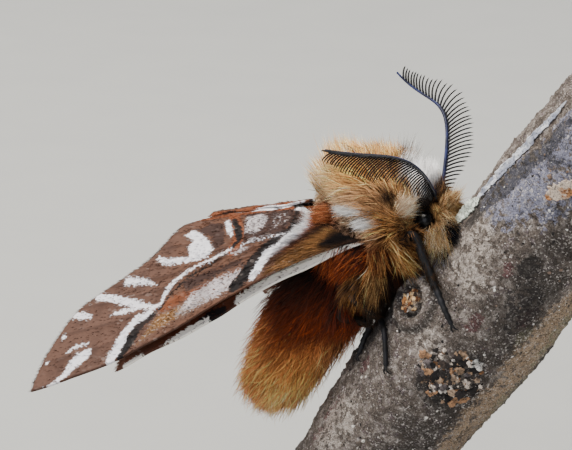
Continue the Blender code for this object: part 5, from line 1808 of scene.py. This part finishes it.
@dataclass
class Body:
    """Head, thorax and abdomen under one skin, with their fur."""

    hair: Material
    voxel: float = 0.22
    thorax_tufts: int = 6500
    head_tufts: int = 7000
    tail_tufts: int = 7500
    thorax_cuts: tuple[HairCut, ...] = (
        HairCut(1.9, 0.5, 0.10, 4, 0.3, 0.6, 0.3, 0.22, tip_light=0.4, tint=0.4),
        HairCut(2.2, 0.48, 0.09, 4, 0.3, 0.45, 0.3, 0.24, tip_light=0.4, tint=0.4),
        HairCut(2.4, 0.58, 0.07, 4, 0.5, 1.0, 0.4, 0.22, tint=0.45))
    head_cut: HairCut = HairCut(1.0, 0.45, 0.06, 3, 0.3, 0.35, 0.35, 0.2, tint=0.4, lock_tint=0.35)

    def skin(self, finish: Material) -> None:
        """One closed skin over head, thorax and abdomen."""
        bm = bmesh.new()
        for form in (THORAX, HEAD):
            own = bmesh.ops.create_uvsphere(bm, u_segments=64, v_segments=40, radius=1.0)["verts"]
            bmesh.ops.scale(bm, verts=own, vec=Vector(form.half) * 0.985)
            bmesh.ops.rotate(bm, verts=own, cent=(0, 0, 0), matrix=Matrix.Rotation(-form.dip, 3, "Y"))
            bmesh.ops.translate(bm, verts=own, vec=Vector(form.centre))
        for t in steps_to(40):
            own = bmesh.ops.create_uvsphere(bm, u_segments=32, v_segments=20,
                                            radius=float(ABDOMEN.radius(t)) * 0.97)["verts"]
            bmesh.ops.translate(bm, verts=own, vec=Vector(bezier(ABDOMEN.route, np.array(t))))
        holder = linked("body_form", mesh_of("body_form", bm))
        remesh = holder.modifiers.new("skin", "REMESH")
        remesh.mode = "VOXEL"
        remesh.voxel_size = self.voxel
        mesh = bpy.data.meshes.new_from_object(
            holder.evaluated_get(bpy.context.evaluated_depsgraph_get()))
        bpy.data.objects.remove(holder)
        mesh.name = "body_skin"
        points = read_points(mesh)
        # The skin takes the coat's markings darkened, as painted shade under the fur.
        set_colours(mesh, "coat", self.colours(points) * 0.45)
        move_points(mesh, points)
        add_piece(mesh, finish, "tan_fur", "head", "thorax", "abdomen")

    def colours(self, points: Array) -> Array:
        """Colour of the body's markings at each point of the skin."""
        on_head = smooth(points[:, 0], 4.1, 4.5) * smooth(points[:, 2], -1.2, -0.8)
        on_tail = 1 - smooth(points[:, 2] - 0.2 * points[:, 0], -4.6, -3.4)
        rows = mixed(BODY_MARKS.colours(points), HEAD_MARKS.colours(points), on_head)
        return mixed(rows, TAIL_MARKS.colours(points), on_tail)

    def thorax_coat(self, layer: int, cut: HairCut) -> None:
        """One layer of the long fur combed back from the collar over the shoulders."""
        draw = seeded(100 + layer)
        rows = THORAX.sample(draw, self.thorax_tufts)
        keep = HEAD.depth_share(rows[0]) > 0.98
        points, normals, where = (row[keep] for row in rows)
        x, z = points[:, 0], points[:, 2]
        upper = smooth(z, -1.6, 1)[:, None]
        flow = np.array([-0.85, 0.0, 0.05]) * upper + np.array([-0.45, 0.0, -0.9]) * (1 - upper)
        over_wing = smooth(np.abs(points[:, 1]), 1.5, 2.4) * smooth(z, -1.5, -1) * (
            1 - smooth(x, 1.5, 2.6))
        flow = flow + normals * [0, 0.25, 0] - over_wing[:, None] * [0.0, 0.0, 0.3]
        collar = smooth(normals @ unit(np.array([0.62, 0, 0.78])), 0.72, 0.95)[:, None]
        flow = flow * (1 - collar) + np.array([0.25, 0.0, 0.9]) * collar
        rear = smooth(-normals[:, 0], 0.15, 0.85)
        scale = 1 - 0.7 * rear - 0.3 * (1 - smooth(z, -3.4, -1.2))
        scale = scale * (1 - 0.3 * smooth(x - 0.5 * z, 1.5, 3.5))
        past_edge = -0.572 * (x + 1.9) - 0.82 * (z - 2.85)
        room = np.clip(0.16 - past_edge / 1.3, 0.16, 1)
        scale = scale * (1 - over_wing) + np.minimum(scale, room) * over_wing
        coat = Coat(f"thorax_fur_{layer + 1}", cut, 200 + layer, BODY_MARKS.colours, self.hair,
                    "tan_fur", "thorax")
        coat.grow(points, normals, flow, where, scale)

    def head_coat(self) -> None:
        """Short fur of the face, lying down and forward."""
        draw = seeded(300)
        rows = HEAD.sample(draw, self.head_tufts)
        own = rows[0] * [1, 0, 1] + np.abs(rows[0]) * [0, 1, 0]
        eye_gap = np.linalg.norm(own - EYE_PLACE, axis=1)
        keep = (THORAX.depth_share(rows[0]) > 1.0) & (eye_gap > EYE_RADIUS * 0.95)
        points, normals, where, eye_gap = (row[keep] for row in (*rows, eye_gap))
        flow = np.tile([0.15, 0.0, -1.0], (len(points), 1)) + normals * [0, 0.3, 0]
        top = smooth(points[:, 2], 1.9, 2.8)[:, None]
        flow = flow * (1 - top) + np.array([0.9, 0.0, 0.5]) * top
        scale = 0.7 + 0.4 * smooth(eye_gap, 1, 2.2) - 0.3 * smooth(points[:, 0], 6.1, 6.7)
        coat = Coat("head_fur", self.head_cut, 301, HEAD_MARKS.colours, self.hair, "tan_fur", "head")
        coat.grow(points, normals, flow, where, scale)

    def tail_coat(self, layer: int) -> None:
        """One layer of the abdomen's long loose fur, lying towards its tip."""
        draw = seeded(400 + layer)
        rows = ABDOMEN.sample(draw, self.tail_tufts)
        keep = THORAX.depth_share(rows[0]) > 1.0
        points, normals, where = (row[keep] for row in rows)
        t = np.clip(where[:, 1] * (1 + ABDOMEN.round_end), 0, 1)
        cut = HairCut(2.3 + 0.5 * layer, 0.42, 0.09, 4, 0.45, 0.6 + 0.4 * layer, 0.5, 0.32,
                      tint=0.5, lock_tint=0.35)
        coat = Coat(f"abdomen_fur_{layer + 1}", cut, 410 + layer, TAIL_MARKS.colours, self.hair,
                    "red_brown_fur", "abdomen")
        coat.grow(points, normals, ABDOMEN.heading(t), where, 1 - 0.15 * smooth(t, 0.6, 1))

    def build(self, skin: Material) -> None:
        """Skin and every coat."""
        self.skin(skin)
        for layer, cut in enumerate(self.thorax_cuts):
            self.thorax_coat(layer, cut)
        self.head_coat()
        for brush in BRUSHES:
            brush.build(self.hair)
        for layer in range(2):
            self.tail_coat(layer)


@dataclass
class LegCoat:
    """Fur on the thighs and short hair down the shanks."""

    leg: Leg
    side: Side
    finish: Material

    def build(self) -> None:
        """Grow both stretches."""
        leg = self.leg
        self.grow("thigh", 620, (0.02, leg.knee_at), (leg.fur_length, 4), (leg.fur, "2A160A"),
                  leg.thigh_radius, np.array([-0.2, 0.0, -0.5]))
        self.grow("shank", 450, (leg.knee_at, leg.foot_at), (0.45, 3), ("4A3420", "140E0C"),
                  leg.shank_radius, np.zeros(3))

    def grow(self, part: str, count: int, span: Pair, size: tuple[float, int],
             codes: tuple[str, str], radius: float, fall: Array) -> None:
        """Grow the tufts round a stretch of the leg's route.

        Args:
            part: Name of the stretch.
            count: Number of tufts.
            span: Where the stretch starts and ends along the leg.
            size: Length and number of steps of each tuft.
            codes: Hex values that the tufts vary between.
            radius: Radius of the leg there.
            fall: How the tufts hang, added to the leg's own direction.
        """
        leg, side = self.leg, self.side
        seed = 500 + 10 * len(leg.name) + side.value
        draw = seeded(seed + len(part))
        t = between(span, draw.random(count))
        turn = draw.random(count) * math.tau
        along = unit(leg.route(side, t + 0.01) - leg.route(side, t - 0.01))
        over = square_to(np.broadcast_to([0.3, 0.2, 1.0], along.shape), along)
        normals = over * np.cos(turn)[:, None] + np.cross(along, over) * np.sin(turn)[:, None]
        points = leg.route(side, t) + normals * radius * 0.85
        share = smooth(draw.random(count), 0.3, 0.9)
        rows = mixed(flat(codes[0], count), linear(codes[1]), share)
        cut = HairCut(size[0], 0.3, 0.07, size[1], 0.3, 0.5, 0.3, 0.16)
        node = f"leg_{leg.name}_{side.word}"
        coat = Coat(f"{node}_{part}_fur", cut, seed, lambda _: rows, self.finish,
                    "red_brown_fur", node)
        coat.grow(points, normals, along + fall, np.stack([turn / math.tau, t], axis=1),
                  np.ones(count))


@dataclass(frozen=True)
class MetalFinish:
    """Satin brushed steel: fine lines round the turned parts soften its reflections."""

    name: str = "brushed_steel"
    colour: str = "B9BBBD"
    line: str = "9EA1A4"
    roughness: float = 0.32

    def build(self) -> Material:
        """Make the material."""
        look = Look(self.name, self.colour)
        drawn = look.via(STRETCH, look.place(1.0), (0.12, 9.0, 9.0))
        lines = look.via(NOISE, drawn, 1.6, 3.0)
        look.lay(self.line, look.via(RAMP, lines, 0.4, 0.7))
        rough = look.via(RAMP, lines, 0.3, 0.7, self.roughness - 0.06, self.roughness + 0.08)
        return look.finish(rough, metal=1.0)


@dataclass(frozen=True)
class PaperFinish:
    """Pale studio paper: matt, with a faint cloudiness."""

    name: str = "pale_paper"
    colour: str = "BEBFBC"
    cloud: str = "B7B8B6"

    def build(self) -> Material:
        """Make the material."""
        look = Look(self.name, self.colour)
        look.lay(self.cloud, look.via(NOISE, look.place(0.02), 5.0))
        return look.finish(0.9)


@dataclass
class Stand:
    """The plain display stand, whose solids stay with a better finish."""

    nodes: tuple[str, ...] = ("stand_base", "stand_rod")

    def build(self, finish: Material) -> None:
        """Give both solids their finish."""
        for name in self.nodes:
            node = bpy.data.objects[name]
            for slot in node.material_slots:
                slot.material = finish
            if not node.material_slots:
                node.data.materials.append(finish)


@dataclass
class Studio:
    """Floor, soft light and the camera of the photograph."""

    floor_size: float = 4.0
    azimuth: float = 28.0
    elevation: float = 15.0
    distance: float = 200.0
    pixels_per_mm: float = 14.0
    shift: Pair = (-82.0, -3.0)

    def camera(self) -> None:
        """A long lens at the photograph's viewing angle."""
        a, e = math.radians(self.azimuth), math.radians(self.elevation)
        back = np.array([math.sin(a) * math.cos(e), -math.cos(a) * math.cos(e), math.sin(e)])
        right = np.array([math.cos(a), math.sin(a), 0.0])
        up = np.cross(back, right)
        target = (right * self.shift[0] + up * self.shift[1]) / self.pixels_per_mm
        place = placed(target + back * self.distance)
        data = bpy.data.cameras.new("camera")
        data.sensor_width = 36.0
        data.lens = self.distance * data.sensor_width / (PHOTO_SIZE[0] / self.pixels_per_mm)
        data.clip_start = MM
        camera = linked("camera", data)
        camera.matrix_world = Matrix([*np.column_stack([right, up, back, place]), (0, 0, 0, 1)])
        bpy.context.scene.camera = camera

    def light(self, name: str, place: Triple, size: float, power: float,
              colour: str = "FFFFFF") -> None:
        """A soft square lamp aimed at the moth.

        Args:
            name: Name of the lamp.
            place: Where it hangs, in metres from the moth.
            size: Length of its side in metres.
            power: Watts.
            colour: Tint of its light.
        """
        data = bpy.data.lights.new(name, "AREA")
        data.size = size
        data.energy = power
        data.color = linear(colour)
        lamp = linked(name, data)
        lamp.location = placed(np.array(place) / MM)
        lamp.rotation_euler = Vector(place).to_track_quat("Z", "Y").to_euler()

    def build(self) -> None:
        """Floor, lamps, sky and camera."""
        bm = bmesh.new()
        bmesh.ops.create_grid(bm, x_segments=1, y_segments=1, size=self.floor_size / 2)
        mesh = mesh_of("studio_floor", bm)
        floor = linked("studio_floor", mesh)
        mesh.materials.append(PaperFinish().build())
        self.light("key", (-0.22, -0.12, 0.55), 0.4, 7.5, "FFF9F0")
        self.light("front", (0.10, -0.60, 0.25), 0.5, 1.6, "F4F6FF")
        self.light("back", (0.1, 0.6, 0.45), 0.5, 2.0)
        world = bpy.data.worlds.new("studio")
        world.use_nodes = True
        sky = world.node_tree.nodes["Background"].inputs
        sky["Color"].default_value = (*linear("DDE2E8"), 1.0)
        sky["Strength"].default_value = 0.3
        bpy.context.scene.world = world
        self.camera()


def main() -> None:
    """Build every piece."""
    logging.basicConfig(level=logging.INFO, format="%(message)s")
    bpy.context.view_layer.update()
    Studio().build()
    hair = HairFinish("moth_fur").build()
    skin = HairFinish("moth_skin", 0.8).build()
    shell = ShellFinish("black_chitin", "0B0A0B", 0.6, second="15161D").build()
    eye = ShellFinish("compound_eye", "010102", 0.22, 0.05, 0.3, "030304", 0.25).build()
    wings = ((FOREWING, FOREWING_PAINT, 600), (HINDWING, HINDWING_PAINT, 700))
    scales = [WingFinish(f"{wing.name}_scales", paint).build() for wing, paint, _ in wings]
    perch = Perch()
    perch.build(BarkFinish().build(), WoodFinish().build())
    lichen = LichenFinish().build()
    for growth in (*FLAKES, *CRUSTS):
        growth.build(perch, lichen)
    Body(hair).build(skin)
    for side in Side:
        for (wing, _, _), finish in zip(wings, scales):
            wing.build(side, finish)
        for wing, paint, seed in wings:
            WingCoat(wing, side, seed + side.value, paint, hair).build()
        Eyes().build(side, eye)
        for leg in LEGS:
            leg.build(side, shell)
            LegCoat(leg, side, hair).build()
    # The shaft's darkness is its own; its blue tint is painted sheen.
    shaft = ShellFinish("blue_chitin", "141A3A", 0.42, 0.12, 0.2, "2A3466").build()
    for antenna in ANTENNAE:
        antenna.build(shaft, shell)
    Stand().build(MetalFinish().build())


if __name__ == "__main__":
    main()
